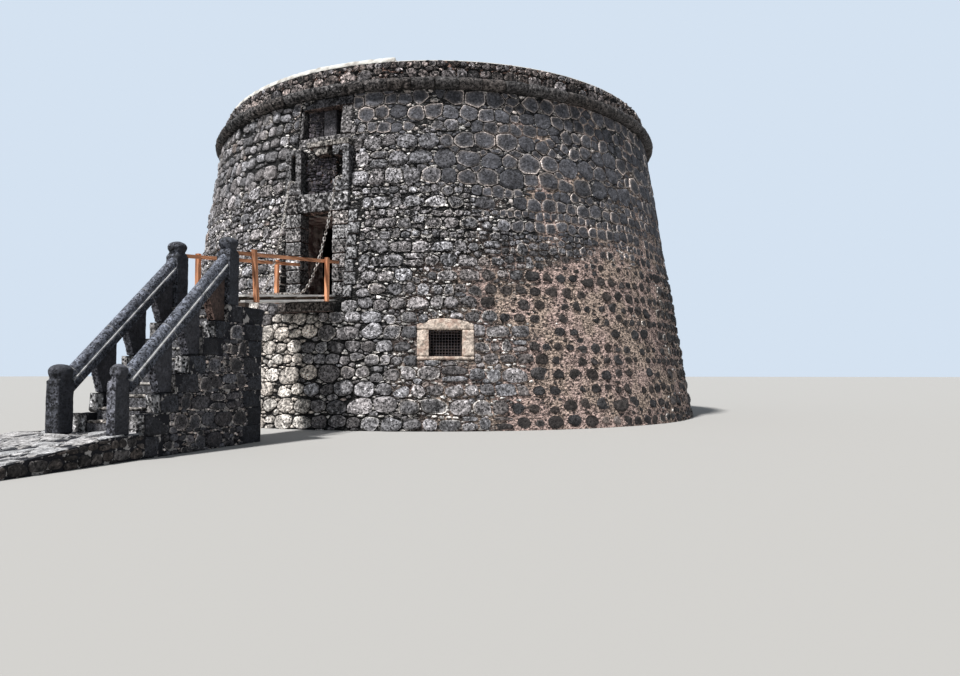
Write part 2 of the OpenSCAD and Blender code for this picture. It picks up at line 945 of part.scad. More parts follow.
// Puts children on the sloping gangway: x across, y from the stair end, z from the underside
module on_gangway() {
    translate([0, -gangway_outer, gangway_underside(gangway_outer)])
        rotate([gangway_slope, 0, 0])
            children();
}

gangway_length = (gangway_outer - gangway_inner) / cos(gangway_slope);
stringer_width = 110;
bearer_width = 95;
bearer_places = [120, 1000, 1950, 2900, gangway_length - 130];

module gangway_stringers() {
    color(timber)
        on_gangway() {
            block([gangway_left, 0, 0],
                  [gangway_left + stringer_width, gangway_length, stringer_thickness]);
            block([gangway_right - stringer_width, 0, 0],
                  [gangway_right, gangway_length, stringer_thickness]);
        }
}

sleeper_outer = gangway_outer - 10;
sleeper_width = 130;

module gangway_bearers() {
    color(timber) {
        on_gangway()
            for (place = bearer_places)
                block([gangway_left, place - bearer_width / 2, stringer_thickness + seat],
                      [gangway_right, place + bearer_width / 2, stringer_thickness + bearer_depth - seat]);
        block([gangway_left, -sleeper_outer, landing_level + seat],
              [gangway_right, -sleeper_outer + sleeper_width, gangway_underside(sleeper_outer) - seat]);
    }
}

module gangway_planks() {
    width = (gangway_width - (plank_count - 1) * plank_gap) / plank_count;
    color(timber)
        on_gangway()
            for (k = [0 : plank_count - 1])
                translate([gangway_left + k * (width + plank_gap), 0, gangway_depth - plank_thickness])
                    block([0, 0, 0], [width, gangway_length, plank_thickness]);
}

right_post_insets = [520, 340];
left_post_insets = [730, 100];
post_lean = 110;
right_posts = [[gangway_inner + right_post_insets[0], 0], [gangway_outer - right_post_insets[1], post_lean]];
left_posts = [[gangway_inner + left_post_insets[0], 0], [gangway_outer - left_post_insets[1], 0]];
post_rise = 80;

// Height of the handrail's middle at a distance from the tower's axis
function handrail_level(distance) = gangway_top(distance) + handrail_height;

// A post at a distance from the tower's axis, its head leaning away from the tower
module gangway_post(low_x, distance, lean) {
    half = post_width / 2;
    foot = gangway_underside(distance + half);
    head = handrail_level(distance) + post_rise;
    along_x(low_x, low_x + post_width)
        polygon([
            [-distance - half, foot], [-distance + half, foot],
            [-distance - lean + half, head], [-distance - lean - half, head]
        ]);
}

module gangway_posts() {
    color(timber) {
        for (post = right_posts) gangway_post(gangway_right + seat, post[0], post[1]);
        for (post = left_posts) gangway_post(gangway_left - post_width - seat, post[0], post[1]);
    }
}

rail_outer_right = -upper_newel_y;
rail_outer_left = -upper_newel_y - newel_width / 2 - seat;

module handrail(low_x, outer) {
    half = handrail_depth / 2;
    inner = portal_face + seat;
    along_x(low_x, low_x + handrail_depth)
        polygon([
            [-outer, handrail_level(outer) - half], [-inner, handrail_level(inner) - half],
            [-inner, handrail_level(inner) + half], [-outer, handrail_level(outer) + half]
        ]);
}

module gangway_rails() {
    color(timber) {
        handrail(gangway_right - handrail_depth - seat, rail_outer_right);
        handrail(gangway_left, rail_outer_left);
    }
}

// One link, lying along x, its opening in the XY plane
module link() {
    bend = (link_width - link_wire) / 2;
    straight = link_inner + link_wire - 2 * bend;
    for (end = [-1, 1])
        translate([end * straight / 2, 0, 0])
            rotate([0, 0, end * 90 - 180])
                rotate_extrude(angle = 180, $fn = 32)
                    translate([bend, 0]) circle(d = link_wire, $fn = 16);
    for (side = [-1, 1])
        translate([-straight / 2, side * bend, 0])
            rotate([0, 90, 0])
                cylinder(h = straight, d = link_wire, $fn = 16);
}

link_play = 0.7;
link_pitch = link_inner - link_play;

// Points of a hanging curve between two points, with a given sag
function hang(a, b, sag, t) = a + (b - a) * t - [0, 0, sag * 4 * t * (1 - t)];

// The place along a route of points where the next link begins
function route_length(route) =
    len(route) < 2 ? 0 : sum([for (k = [1 : len(route) - 1]) norm(route[k] - route[k - 1])]);
function sum(list, k = 0) = k >= len(list) ? 0 : list[k] + sum(list, k + 1);
function route_point(route, s, k = 1) =
    let (step = norm(route[k] - route[k - 1]))
    s <= step || k == len(route) - 1
        ? route[k - 1] + (route[k] - route[k - 1]) * s / step
        : route_point(route, s - step, k + 1);

module chain(route) {
    count = floor(route_length(route) / link_pitch);
    color(rust)
        for (k = [0 : count - 1]) {
            a = route_point(route, k * link_pitch);
            b = route_point(route, (k + 1) * link_pitch);
            d = b - a;
            translate((a + b) / 2)
                rotate([0, 0, atan2(d[1], d[0])])
                    rotate([0, -atan2(d[2], norm([d[0], d[1]])), 0])
                        rotate([k % 2 == 0 ? 45 : -45, 0, 0])
                            link();
        }
}

function unit(v) = v / norm(v);

// Points of an arc that leaves a point in one direction and turns into another
function bend(point, from, to, radius) =
    let (angle = acos(from * to), side = unit(to - (from * to) * from))
    [for (k = [0 : bend_steps])
        let (turn = angle * k / bend_steps)
        point + radius * (sin(turn) * from + (1 - cos(turn)) * side)];
function last(list) = list[len(list) - 1];
function reversed(list) = [for (k = [len(list) - 1 : -1 : 0]) list[k]];

bend_steps = 8;
hang_steps = 40;
edge_bend = 200;
deck_bend = 300;
chain_rest = (link_width - link_wire) / 2 * sqrt(0.5) + link_wire / 2 + seat;
slot_rest = pilaster_foot + slot_foot + chain_rest;
chain_hold = 270;
chain_inner = portal_face - chain_hold;
edge_reach = 25;

// The route of a chain: out of its slot, over the edge, down in a slack curve and along the deck.
// It meets the deck at its reach in front of the portal and rests there for a length.
function chain_route(slot_x, deck_x, reach, rest, sag) =
    let (
        touch = portal_face + reach,
        stop = touch + rest,
        edge = [slot_x, -portal_face - edge_reach, slot_rest],
        landing = [deck_x, -touch, gangway_top(touch) + chain_rest / cos(gangway_slope)],
        resting = [deck_x, -stop, gangway_top(stop) + chain_rest / cos(gangway_slope)],
        fall = unit(landing - edge - [0, 0, 4 * sag]),
        arrival = unit(landing - edge + [0, 0, 4 * sag]),
        over_edge = bend(edge, [0, -1, 0], fall, edge_bend),
        onto_deck = reversed(bend(landing, unit(landing - resting), -arrival, deck_bend))
    )
    concat(
        [[slot_x, -chain_inner, slot_rest]],
        over_edge,
        [for (k = [1 : hang_steps - 1]) hang(last(over_edge), onto_deck[0], sag, k / hang_steps)],
        onto_deck,
        [resting]
    );

left_chain_inset = 425;
right_chain_inset = 280;
left_reach = 2380;
left_rest = 450;
left_sag = 600;
right_reach = 1580;
right_rest = 1900;
right_sag = 720;

module chain_left() {
    deck_x = gangway_left + left_chain_inset;
    chain(chain_route(door_x - slot_offset, deck_x, left_reach, left_rest, left_sag));
}

module chain_right() {
    deck_x = gangway_right - right_chain_inset;
    chain(chain_route(door_x + slot_offset, deck_x, right_reach, right_rest, right_sag));
}

ramp_shelf = 130;
ramp_toe = 40;

// The approach ramp: a level top under the newels and a slope down to the ground
module ramp() {
    top_back = -stair_front - seat;
    top_front = lower_newel_y - newel_width / 2 - ramp_shelf;
    color(paving)
        along_x(-ramp_left, ramp_right)
            polygon([
                [top_back, 0], [top_back, foot_level], [top_front, foot_level],
                [top_front - ramp_length, ramp_toe], [top_front - ramp_length, 0]
            ]);
}

wall_front_right();
wall_right_front();
wall_right();
wall_rear_right();
wall_rear();
wall_rear_left();
wall_left();
wall_left_front();
wall_front_left();
wall_door_left();
wall_door_right();
wall_under_door();
wall_over_door();
threshold();
threshold_corbel();
ground_floor();
main_floor();
roof_vault();
cornice_front();
cornice_right();
cornice_rear();
cornice_left();
parapet();
coping_thick();
coping_thin();
door_jambs();
door_lintel();
left_pilaster();
right_pilaster();
arch_stones();
portal_infill();
upper_window_frame();
upper_window_infill();
window_front();
window_rear();
window_left();
stair_core();
stair_treads();
stair_wall_right();
stair_wall_left();
newels_right();
newels_left();
balusters_right();
balusters_left();
stone_rail_right();
stone_rail_left();
gangway_stringers();
gangway_bearers();
gangway_planks();
gangway_posts();
gangway_rails();
chain_left();
chain_right();
ramp();
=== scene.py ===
import math
import random

import bmesh
import bpy
import numpy as np
from bpy.props import FloatProperty, FloatVectorProperty, IntProperty, PointerProperty
from mathutils import Matrix, Vector, noise


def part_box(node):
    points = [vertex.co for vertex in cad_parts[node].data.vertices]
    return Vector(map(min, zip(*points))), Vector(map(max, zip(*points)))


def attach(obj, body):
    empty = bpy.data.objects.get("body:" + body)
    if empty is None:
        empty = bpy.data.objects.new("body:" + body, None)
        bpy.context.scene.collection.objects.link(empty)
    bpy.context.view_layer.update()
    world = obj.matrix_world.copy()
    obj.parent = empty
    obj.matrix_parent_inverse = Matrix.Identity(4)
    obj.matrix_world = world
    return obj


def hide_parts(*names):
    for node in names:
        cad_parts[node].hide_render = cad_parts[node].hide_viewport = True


bl_info = {
    "name": "Martello tower",
    "version": (1, 0, 0),
    "blender": (4, 5, 0),
    "location": "View3D > Sidebar > Tower",
    "description": "Dresses a round stone tower with its rubble, ashlar, timber and iron",
    "category": "Add Mesh",
}

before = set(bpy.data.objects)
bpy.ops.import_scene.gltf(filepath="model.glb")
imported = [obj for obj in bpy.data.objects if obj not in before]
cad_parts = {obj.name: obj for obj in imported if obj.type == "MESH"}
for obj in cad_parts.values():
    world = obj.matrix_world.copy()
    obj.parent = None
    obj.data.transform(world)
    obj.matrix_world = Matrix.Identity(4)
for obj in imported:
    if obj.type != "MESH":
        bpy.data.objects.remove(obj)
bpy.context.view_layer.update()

# Sizes of the frame, in metres
BASE_RADIUS = 8.95
WALL_LEAN = 0.151
WALL_HEIGHT = 9.02
UNROLLED_RADIUS = 8.2
PARAPET_RADIUS = 7.5
PARAPET_INNER = 6.9
PARAPET_TOP = 9.85
PARAPET_ROW = 0.36
CORNICE_RADIUS = 7.86
CORNICE_NOSE = 0.14
CORNICE_TOP = 9.3
CORNICE_STONES = 76
DOOR_X = -0.24
DOOR_HEAD = 5.71
PORTAL_HALF = 0.97
PORTAL_FOOT = 2.98
JAMB_FOOT = 3.34
JAMB_COURSES = 7
JAMB_WIDTHS = (0.26, 0.33)
LEDGE_TOP = 7.64
UPPER_WINDOW_SIDES = (-1.08, 0.60)
UPPER_LINTEL_SIDES = (-0.80, 0.60)
LINTEL_FOOT = 8.74
WINDOWS = 3
WINDOW_TURN = 23.1
WINDOW_SILL = 1.828
WINDOW_WIDTH = 0.83
WINDOW_HEIGHT = 0.67
WINDOW_FRAME = 0.3
WINDOW_RELIEF = 0.028
BARS_ACROSS = 11
BARS_UP = 9
BAR_RADIUS = 0.008
BARS_BEHIND = 0.17
STAIR_HALF = 0.79
STAIR_WALL = 0.32
STAIR_FRONT = 15.15
STAIR_BACK = 11.952
SIDE_STEPS = 6
SIDE_RUN = 0.348
SIDE_RISE = 0.336
SIDE_COURSE = 0.36
SIDE_FIRST = 0.72
LANDING = 2.736
LANDING_COURSES = 8
FRONT_QUOINS = (0.42, 0.56)
BACK_QUOINS = (0.62, 0.46)
RAIL_START = (-15.4, 1.51)
RAIL_END = (-13.03, 3.74)
RAIL_ARRIS = -0.15
RAIL_STONE = 1.1
RAMP_TOP = 0.4
RAMP_RUN = 2.9
RAMP_FALL = 0.36
RAMP_ROWS = (0.0, 0.22, 0.38)

# Single stones by their node and number
LOW_RIGHT_NEWEL = ("newels_right", 0)
LOW_LEFT_NEWEL = ("newels_left", 0)
BROWN_BALUSTER = ("balusters_right", 2)

# Rows of large rubble: up to which height, and the least and the most height of a row; some are coursed
ROUGH_ROWS = ((1.5, 0.34, 0.46), (3.6, 0.30, 0.42), (7.7, 0.42, 0.54), (WALL_HEIGHT, 0.30, 0.42))
COURSED_FOOT, COURSED_HEAD = 3.6, 6.1
COURSED_ROWS = (0.20, 0.24, 0.32, 0.38)

# Colours and shares that several pieces use
UNTINTED = (1, 1, 1)
# Colours of faces that look down: a brown painted reflection, and black painted shade
REFLECTED_BROWN_BELOW = (0.10, 0.072, 0.064)
SHADE_BLACK_BELOW = (0.03, 0.03, 0.034)
RIM_SHARES = (0.8, 1.0, 0.12, 0.0)

# The view and the key light, with angles in degrees
CAMERA_PLACE = (9.432, -24.229, 1.386)
CAMERA_TILT = 92.964
CAMERA_TURN = 20.829
LENS_LENGTH = 26.25
LENS_SHIFT = 0.04167
SUN_TURN = -24
SUN_HEIGHT = 61
SUN_STRENGTH = 4.8
SKY_STRENGTH = 0.24


def colour_property(name, description, default):
    return FloatVectorProperty(name=name, description=description, default=default, subtype="COLOR",
                               min=0, max=1)


class MasonrySettings(bpy.types.PropertyGroup):
    """Sizes and colours of the tower's stonework."""

    stone_proud: FloatProperty(name="Stone relief", default=0.065, min=0.01, max=0.1, unit="LENGTH",
                               description="How far rubble stones stand out of their mortar")
    joint: FloatProperty(name="Joint", default=0.04, min=0.005, max=0.06, unit="LENGTH",
                         description="Width of the open joints in the rubble")
    basalt: colour_property("Basalt", "Colour of the rubble stones", (0.208, 0.208, 0.224))
    dark_basalt: colour_property("Dark basalt", "Colour of the dense dressed basalt", (0.042, 0.045, 0.055))
    sandstone: colour_property("Sandstone", "Colour of the stones round the windows", (0.69, 0.585, 0.505))
    mortar: colour_property("Mortar", "Colour of the smeared lime mortar", (0.49, 0.365, 0.33))
    lime: colour_property("Lime", "Colour of the lime coping", (0.80, 0.79, 0.75))
    seed: IntProperty(name="Seed", default=7, min=0, description="Number that the stones are laid out from")


class GangwaySettings(bpy.types.PropertyGroup):
    """Colours of the gangway and the chains."""

    softwood: colour_property("Softwood", "Colour of the posts and rails", (0.80, 0.375, 0.205))
    deck: colour_property("Deck", "Colour of the weathered deck boards", (0.95, 0.93, 0.91))
    # The pale colour of the chain links that catch the light: a painted highlight
    link_glint: colour_property("Chain glint", "Colour of the chains", (0.74, 0.72, 0.70))


def masonry():
    return bpy.context.scene.tower_masonry


def gangway():
    return bpy.context.scene.tower_gangway


def wall_radius(z):
    return BASE_RADIUS - WALL_LEAN * z


def smooth(low, high, value):
    t = min(1.0, max(0.0, (value - low) / (high - low)))
    return t * t * (3 - 2 * t)


class Nodes:
    """A node tree, built node by node."""

    def __init__(self, tree):
        self.tree = tree

    def node(self, kind, **settings):
        made = self.tree.nodes.new(kind)
        for key, value in settings.items():
            setattr(made, key, value)
        return made

    def feed(self, value, socket):
        if isinstance(value, bpy.types.NodeSocket):
            self.tree.links.new(value, socket)
        elif socket.type == "RGBA":
            socket.default_value = (*value[:3], 1)
        else:
            socket.default_value = value

    def math(self, operation, a, b=0.0):
        made = self.node("ShaderNodeMath", operation=operation)
        self.feed(a, made.inputs[0])
        self.feed(b, made.inputs[1])
        return made.outputs[0]

    def times(self, a, b):
        return self.math("MULTIPLY", a, b)

    def plus(self, a, b):
        return self.math("ADD", a, b)

    def less(self, a, b):
        return self.math("SUBTRACT", a, b)

    def most(self, a, b):
        return self.math("MAXIMUM", a, b)


class Finish(Nodes):
    """One procedural material."""

    def __init__(self, name, roughness=0.9, specular=0.3):
        self.material = bpy.data.materials.new(name)
        self.material.use_nodes = True
        super().__init__(self.material.node_tree)
        self.shader = self.tree.nodes["Principled BSDF"]
        self.shader.inputs["Roughness"].default_value = roughness
        self.shader.inputs["Specular IOR Level"].default_value = specular
        self.place = self.node("ShaderNodeTexCoord").outputs["Object"]

    def stretched(self, stretch):
        mapping = self.node("ShaderNodeMapping")
        self.feed(self.place, mapping.inputs["Vector"])
        mapping.inputs["Scale"].default_value = stretch
        return mapping.outputs["Vector"]

    def noise(self, scale, detail=3.0, rough=0.55, stretch=None):
        made = self.node("ShaderNodeTexNoise")
        self.feed(self.place if stretch is None else self.stretched(stretch), made.inputs["Vector"])
        made.inputs["Scale"].default_value = scale
        made.inputs["Detail"].default_value = detail
        made.inputs["Roughness"].default_value = rough
        return made.outputs["Fac"]

    def cells(self, scale, feature="F1", place=None, output="Distance"):
        made = self.node("ShaderNodeTexVoronoi", feature=feature)
        self.feed(place or self.place, made.inputs["Vector"])
        made.inputs["Scale"].default_value = scale
        return made.outputs[output]

    def ramp(self, value, low, high, start=0.0, end=1.0):
        made = self.node("ShaderNodeMapRange", interpolation_type="SMOOTHSTEP")
        self.feed(value, made.inputs["Value"])
        for key, limit in (("From Min", low), ("From Max", high), ("To Min", start), ("To Max", end)):
            self.feed(limit, made.inputs[key])
        return made.outputs["Result"]

    def mix(self, factor, a, b, blend="MIX"):
        """Mixes two colours, through the node's own sockets for colours: inputs 6 and 7, and output 2."""
        made = self.node("ShaderNodeMix", data_type="RGBA", blend_type=blend)
        self.feed(factor, made.inputs[0])
        self.feed(a, made.inputs[6])
        self.feed(b, made.inputs[7])
        return made.outputs[2]

    def grey(self, value):
        made = self.node("ShaderNodeCombineColor")
        for channel in range(3):
            self.feed(value, made.inputs[channel])
        return made.outputs[0]

    def shaded(self, colour, shade):
        return self.mix(1.0, colour, self.grey(shade), "MULTIPLY")

    def attribute(self, name, output="Color"):
        return self.node("ShaderNodeAttribute", attribute_name=name).outputs[output]

    def split(self, vector=None):
        made = self.node("ShaderNodeSeparateXYZ")
        self.feed(vector or self.place, made.inputs[0])
        return made.outputs

    def facing(self):
        return self.split(self.node("ShaderNodeNewGeometry").outputs["Normal"])

    def colour(self, value):
        self.feed(value, self.shader.inputs["Base Color"])

    def bump(self, height, distance, strength=1.0):
        made = self.node("ShaderNodeBump")
        made.inputs["Strength"].default_value = strength
        made.inputs["Distance"].default_value = distance
        self.feed(height, made.inputs["Height"])
        self.feed(made.outputs["Normal"], self.shader.inputs["Normal"])


def shared(**shader):
    """Makes a material once for the pieces that share it, named like the function that fills it."""
    def keep(fill):
        def get():
            name = fill.__name__
            if name not in bpy.data.materials:
                fill(Finish(name, **shader))
            return bpy.data.materials[name]
        return get
    return keep


def sunlit_and_shaded_tint(f, sides, front, under):
    """The tint of a stone with painted light: pale in front and on top where the sun falls, darker at its
    sides as painted shade, and faces that look down take the under colour: painted shade, brown where it
    stands for reflected light.
    """
    _, y, z = f.facing()
    shown = f.ramp(f.most(f.times(y, -1.0), z), 0.45, 0.75, sides, front)
    tint = f.shaded(f.attribute("tint"), shown)
    return f.mix(f.ramp(z, -0.9, -0.6, 1.0, 0.0), tint, under)


def pitted(f, tint, grain, pit_share, light=2.4, mottle=0.6, coarse=1.0):
    """Gives a stone its blotches, light crystals and dark gas pits; the grain is in specks per metre."""
    blotch = f.ramp(f.noise(4.5), 0.3, 0.7, 0.75, 1.25)
    speckle = f.ramp(f.noise(grain * 0.75, 3.0, 0.65), 0.36, 0.64, -mottle, mottle)
    speckle = f.plus(f.times(speckle, coarse), 1.0)
    base = f.shaded(tint, f.times(blotch, speckle))
    speck = f.times(f.ramp(f.noise(grain * 1.1, 2.0, 0.6), 0.56, 0.64), coarse)
    base = f.mix(f.times(speck, 0.85), base, f.mix(1.0, base, (light, light, light), "MULTIPLY"))
    pits = f.ramp(f.cells(grain), pit_share, pit_share + 0.1, 1.0, 0.0)
    pits = f.times(pits, f.ramp(f.noise(2.3), 0.34, 0.52, 0.4, 1.0))
    pits = f.times(pits, f.ramp(coarse, 0.1, 1.0, 0.3, 1.0))
    f.colour(f.mix(pits, base, f.mix(1.0, base, (0.08, 0.08, 0.08), "MULTIPLY")))
    rough = f.plus(f.noise(11.0, 5.0, 0.6), f.times(speck, 0.25))
    return f.less(rough, f.times(pits, 0.8))


@shared()
def rubble_basalt(f):
    coarse = f.attribute("tint", "Alpha")
    f.bump(pitted(f, f.attribute("tint"), 16.0, 0.26, 3.0, 0.9, coarse), 0.055)


# Pitted basalt with painted sunlight in front and on top, painted shade at its sides, and a brown painted
# reflection on faces that look down
@shared()
def dressed_basalt(f):
    f.bump(pitted(f, sunlit_and_shaded_tint(f, 0.4, 1.0, REFLECTED_BROWN_BELOW), 15.0, 0.33, 2.8, 0.8), 0.05)


# The lintel's basalt, with the same painted sunlight, painted shade and brown painted reflection
@shared()
def lintel_basalt(f):
    f.bump(pitted(f, sunlit_and_shaded_tint(f, 0.5, 1.0, REFLECTED_BROWN_BELOW), 11.0, 0.44, 3.8, 1.0), 0.07)


# Dark basalt, paler in front and on top as painted sunlight, with black painted shade on faces that look down
@shared(roughness=0.82)
def dark_basalt(f):
    f.bump(pitted(f, sunlit_and_shaded_tint(f, 1.0, 1.6, SHADE_BLACK_BELOW), 22.0, 0.24, 2.2, 0.5), 0.022)


@shared(roughness=0.82)
def sun_faced_basalt(f):
    """Dark basalt with smooth sides and a pitted front; the front takes painted sunlight, paler with the
    tint's fourth value, and the sides and downward faces painted shade.
    """
    front = f.times(f.attribute("tint", "Alpha"), 3.6)
    tint = sunlit_and_shaded_tint(f, 0.9, front, SHADE_BLACK_BELOW)
    ahead = f.ramp(f.times(f.facing()[1], -1.0), 0.5, 0.8, 0.3, 1.0)
    f.bump(pitted(f, tint, 20.0, 0.30, 2.2, 0.8, ahead), 0.025)


@shared(roughness=0.85)
def rail_basalt(f):
    """Pitted basalt of the roll rails, with a pale worn arris on the slab, painted shade on the lower slab,
    and a joint at each stone.
    """
    _, y, z = f.split()
    rise, run = RAIL_END[1] - RAIL_START[1], RAIL_END[0] - RAIL_START[0]
    length = math.hypot(rise, run)
    ahead = f.plus(y, -RAIL_START[0])
    up = f.plus(z, -RAIL_START[1])
    across = f.less(f.times(up, run / length), f.times(ahead, rise / length))
    along = f.plus(f.times(ahead, run / length), f.times(up, rise / length))
    wavy = f.times(f.less(f.noise(6.0), 0.5), 0.012)
    arris = f.plus(across, f.plus(wavy, -RAIL_ARRIS))
    pale = f.times(f.ramp(arris, -0.027, -0.020), f.ramp(arris, 0.0, 0.008, 1.0, 0.0))
    pale = f.times(pale, f.ramp(f.noise(5.0, 4.0), 0.38, 0.5, 0.35, 1.0))
    stones = f.math("DIVIDE", along, RAIL_STONE)
    place = f.math("ABSOLUTE", f.less(stones, f.math("ROUND", stones)))
    joint = f.ramp(place, 0.006, 0.012, 1.0, 0.0)
    # The slab more than a few centimetres under the arris is darkened: painted shade
    shade_under_roll = f.ramp(arris, -0.07, -0.04, 0.45, 1.0)
    stone = f.shaded((0.124, 0.135, 0.168), shade_under_roll)
    height = pitted(f, stone, 24.0, 0.27, 2.3, 0.6)
    stone = f.shader.inputs["Base Color"].links[0].from_socket
    f.colour(f.mix(f.most(f.times(pale, 0.95), f.times(joint, 0.25)), stone, (0.92, 0.92, 0.93)))
    f.bump(f.less(height, joint), 0.022)


@shared()
def plain_basalt(f):
    f.bump(pitted(f, (0.10, 0.10, 0.11), 22.0, 0.2), 0.018)


def chips(f, place, dark, middle, light):
    """Gives the colour and the height of small chips packed in the joints, with black gaps between them."""
    pick = f.node("ShaderNodeSeparateColor")
    f.feed(f.cells(1.0, place=place, output="Color"), pick.inputs[0])
    edge = f.cells(1.0, "DISTANCE_TO_EDGE", place)
    tone = f.mix(f.ramp(pick.outputs[0], 0.38, 0.48), dark, middle)
    tone = f.mix(f.ramp(pick.outputs[0], 0.70, 0.78), tone, light)
    tone = f.shaded(tone, f.ramp(f.noise(20.0, 3.0), 0.35, 0.65, 0.6, 1.4))
    return f.mix(f.ramp(edge, 0.06, 0.16, 1.0, 0.0), tone, (0.006, 0.006, 0.006)), f.ramp(edge, 0.0, 0.3)


@shared(roughness=0.95)
def wall_mortar(f):
    """The bed of the rubble: chips in open joints, and rosy mortar where it is smeared over the stones."""
    x, y, z = f.split()
    turn = f.math("ARCTAN2", x, f.times(y, -1.0))
    unrolled = f.node("ShaderNodeCombineXYZ")
    f.feed(f.times(turn, UNROLLED_RADIUS * 9.5), unrolled.inputs[0])
    f.feed(f.times(z, 19.0), unrolled.inputs[1])
    dark, height = chips(f, unrolled.outputs[0], (0.02, 0.019, 0.02), (0.14, 0.135, 0.135),
                         (0.68, 0.65, 0.63))
    # The bed is painted near black in the deep open joints on the left: painted shade
    deep = f.most(f.times(f.ramp(turn, -0.20, -0.13, 1.0, 0.0), f.ramp(z, 6.6, 7.1)),
                  f.times(f.ramp(turn, 0.12, 0.25, 1.0, 0.0), f.ramp(z, 3.3, 3.8, 1.0, 0.0)))
    deep = f.times(deep, f.ramp(turn, -2.6, -2.0, 0.0, 0.92))
    dark = f.mix(deep, dark, (0.008, 0.008, 0.008))
    wander = f.less(f.noise(0.7, 4.0), 0.5)
    turn = f.plus(turn, f.times(wander, 0.9))
    low = f.plus(z, f.times(wander, 3.0))
    slope = f.less(low, f.ramp(turn, 0.75, 1.3, 0.0, 1.2))
    smear = f.times(f.ramp(turn, 0.30, 0.64), f.ramp(slope, 4.9, 3.9))
    edge = f.times(f.ramp(turn, 0.95, 1.25), f.ramp(low, 8.6, 6.0, 0.0, 0.55))
    patches = f.times(f.ramp(turn, 0.40, 0.75), f.ramp(z, 4.4, 5.2))
    patches = f.times(patches, f.ramp(f.noise(0.8, 3.0), 0.50, 0.60, 0.0, 0.9))
    cover = f.most(f.most(smear, edge), patches)
    cover = f.times(cover, f.ramp(turn, 1.65, 2.05, 1.0, 0.0))
    streak = f.noise(1.0, 4.0, 0.72, (12, 12, 19))
    grain = f.ramp(streak, 0.37, 0.63, 0.12, 1.85)
    rosy = f.mix(f.ramp(f.noise(1.3, 4.0), 0.42, 0.6), tuple(masonry().mortar), (0.46, 0.36, 0.30))
    pale = f.shaded(rosy, grain)
    pebbles = f.times(f.ramp(f.cells(7.0), 0.22, 0.34, 1.0, 0.0), f.ramp(f.noise(2.6), 0.36, 0.48))
    grit = f.times(f.ramp(f.cells(15.0), 0.24, 0.36, 1.0, 0.0), f.ramp(f.noise(1.7), 0.38, 0.54))
    pale = f.mix(f.times(f.most(pebbles, grit), 0.88), pale, (0.045, 0.038, 0.040))
    outside = f.mix(cover, dark, pale)
    radius = f.math("SQRT", f.plus(f.times(x, x), f.times(y, y)))
    depth = f.plus(radius, f.times(z, WALL_LEAN))
    inside = f.ramp(depth, BASE_RADIUS - 0.62, BASE_RADIUS - 0.45, 1.0, 0.0)
    stain = f.ramp(f.noise(3.2, 5.0), 0.40, 0.62)
    plaster = f.mix(stain, (0.25, 0.17, 0.16), (0.86, 0.77, 0.74))
    plaster = f.mix(f.ramp(z, 8.9, 8.95), plaster, (0.33, 0.31, 0.28))
    f.colour(f.mix(inside, outside, plaster))
    f.bump(f.plus(f.noise(11.0, 5.0, 0.65), f.times(height, 0.5)), 0.05)


@shared(roughness=0.95)
def open_joints(f):
    colour, height = chips(f, f.stretched((9, 9, 15)), (0.012, 0.011, 0.012), (0.045, 0.042, 0.042),
                           (0.22, 0.14, 0.115))
    f.colour(colour)
    f.bump(height, 0.03)


@shared(roughness=0.95)
def stair_mortar(f):
    patches = f.ramp(f.noise(5.0, 5.0, 0.65), 0.53, 0.58)
    f.colour(f.mix(patches, (0.010, 0.010, 0.013), (0.40, 0.385, 0.38)))
    f.bump(f.noise(14.0, 5.0), 0.02)


@shared()
def sandstone(f):
    grain = f.ramp(f.noise(10.0, 5.0, 0.72), 0.36, 0.64, 0.42, 1.38)
    base = f.shaded(tuple(masonry().sandstone), grain)
    stain = f.ramp(f.noise(3.1, 5.0, 0.7), 0.50, 0.62)
    f.colour(f.mix(f.times(stain, 0.55), base, (0.46, 0.28, 0.22)))
    f.bump(f.noise(12.0, 5.0, 0.7), 0.04)


@shared(roughness=0.95)
def lime_coping(f):
    stain = f.ramp(f.noise(2.6, 5.0), 0.44, 0.66)
    f.colour(f.mix(f.times(stain, 0.8), tuple(masonry().lime), (0.33, 0.31, 0.29)))
    f.bump(f.noise(9.0, 5.0), 0.02)


@shared(roughness=0.92)
def stone_paving(f):
    joints = f.ramp(f.cells(1.6, "DISTANCE_TO_EDGE"), 0.012, 0.03, 1.0, 0.0)
    blotch = f.ramp(f.noise(2.2, 5.0), 0.35, 0.65, 0.7, 1.2)
    base = f.shaded((0.33, 0.30, 0.27), blotch)
    f.colour(f.mix(f.times(joints, 0.75), base, (0.10, 0.095, 0.09)))
    f.bump(f.less(f.noise(12.0, 5.0), joints), 0.02)


@shared(roughness=0.95)
def lime_plaster(f):
    stain = f.ramp(f.noise(1.6, 6.0, 0.65), 0.35, 0.65)
    f.colour(f.mix(stain, (0.38, 0.36, 0.325), (0.26, 0.24, 0.215)))
    f.bump(f.noise(7.0, 5.0), 0.015)


def timber(f, base, stretch, even=0.0, top=None):
    """Boards with their grain along one way; an even timber is more alike from board to board."""
    if top:
        base = f.mix(f.ramp(f.facing()[2], 0.5, 0.8), base, top)
    grain = f.noise(1.0, 5.0, 0.6, stretch)
    board = f.ramp(f.noise(1.3, 1.0), 0.35, 0.65, 0.6 + 0.4 * even, 1.25 - 0.25 * even)
    tone = f.shaded(base, board)
    dark = f.mix(1.0, tone, blended((0.42, 0.36, 0.32), (0.9, 0.9, 0.9), even), "MULTIPLY")
    f.colour(f.mix(f.ramp(grain, 0.45, 0.62), tone, dark))
    f.bump(grain, 0.004)


@shared(roughness=0.455, specular=0.77)
def deck_boards(f):
    timber(f, tuple(gangway().deck), (26, 1.6, 26), 0.7, (0.50, 0.45, 0.40))


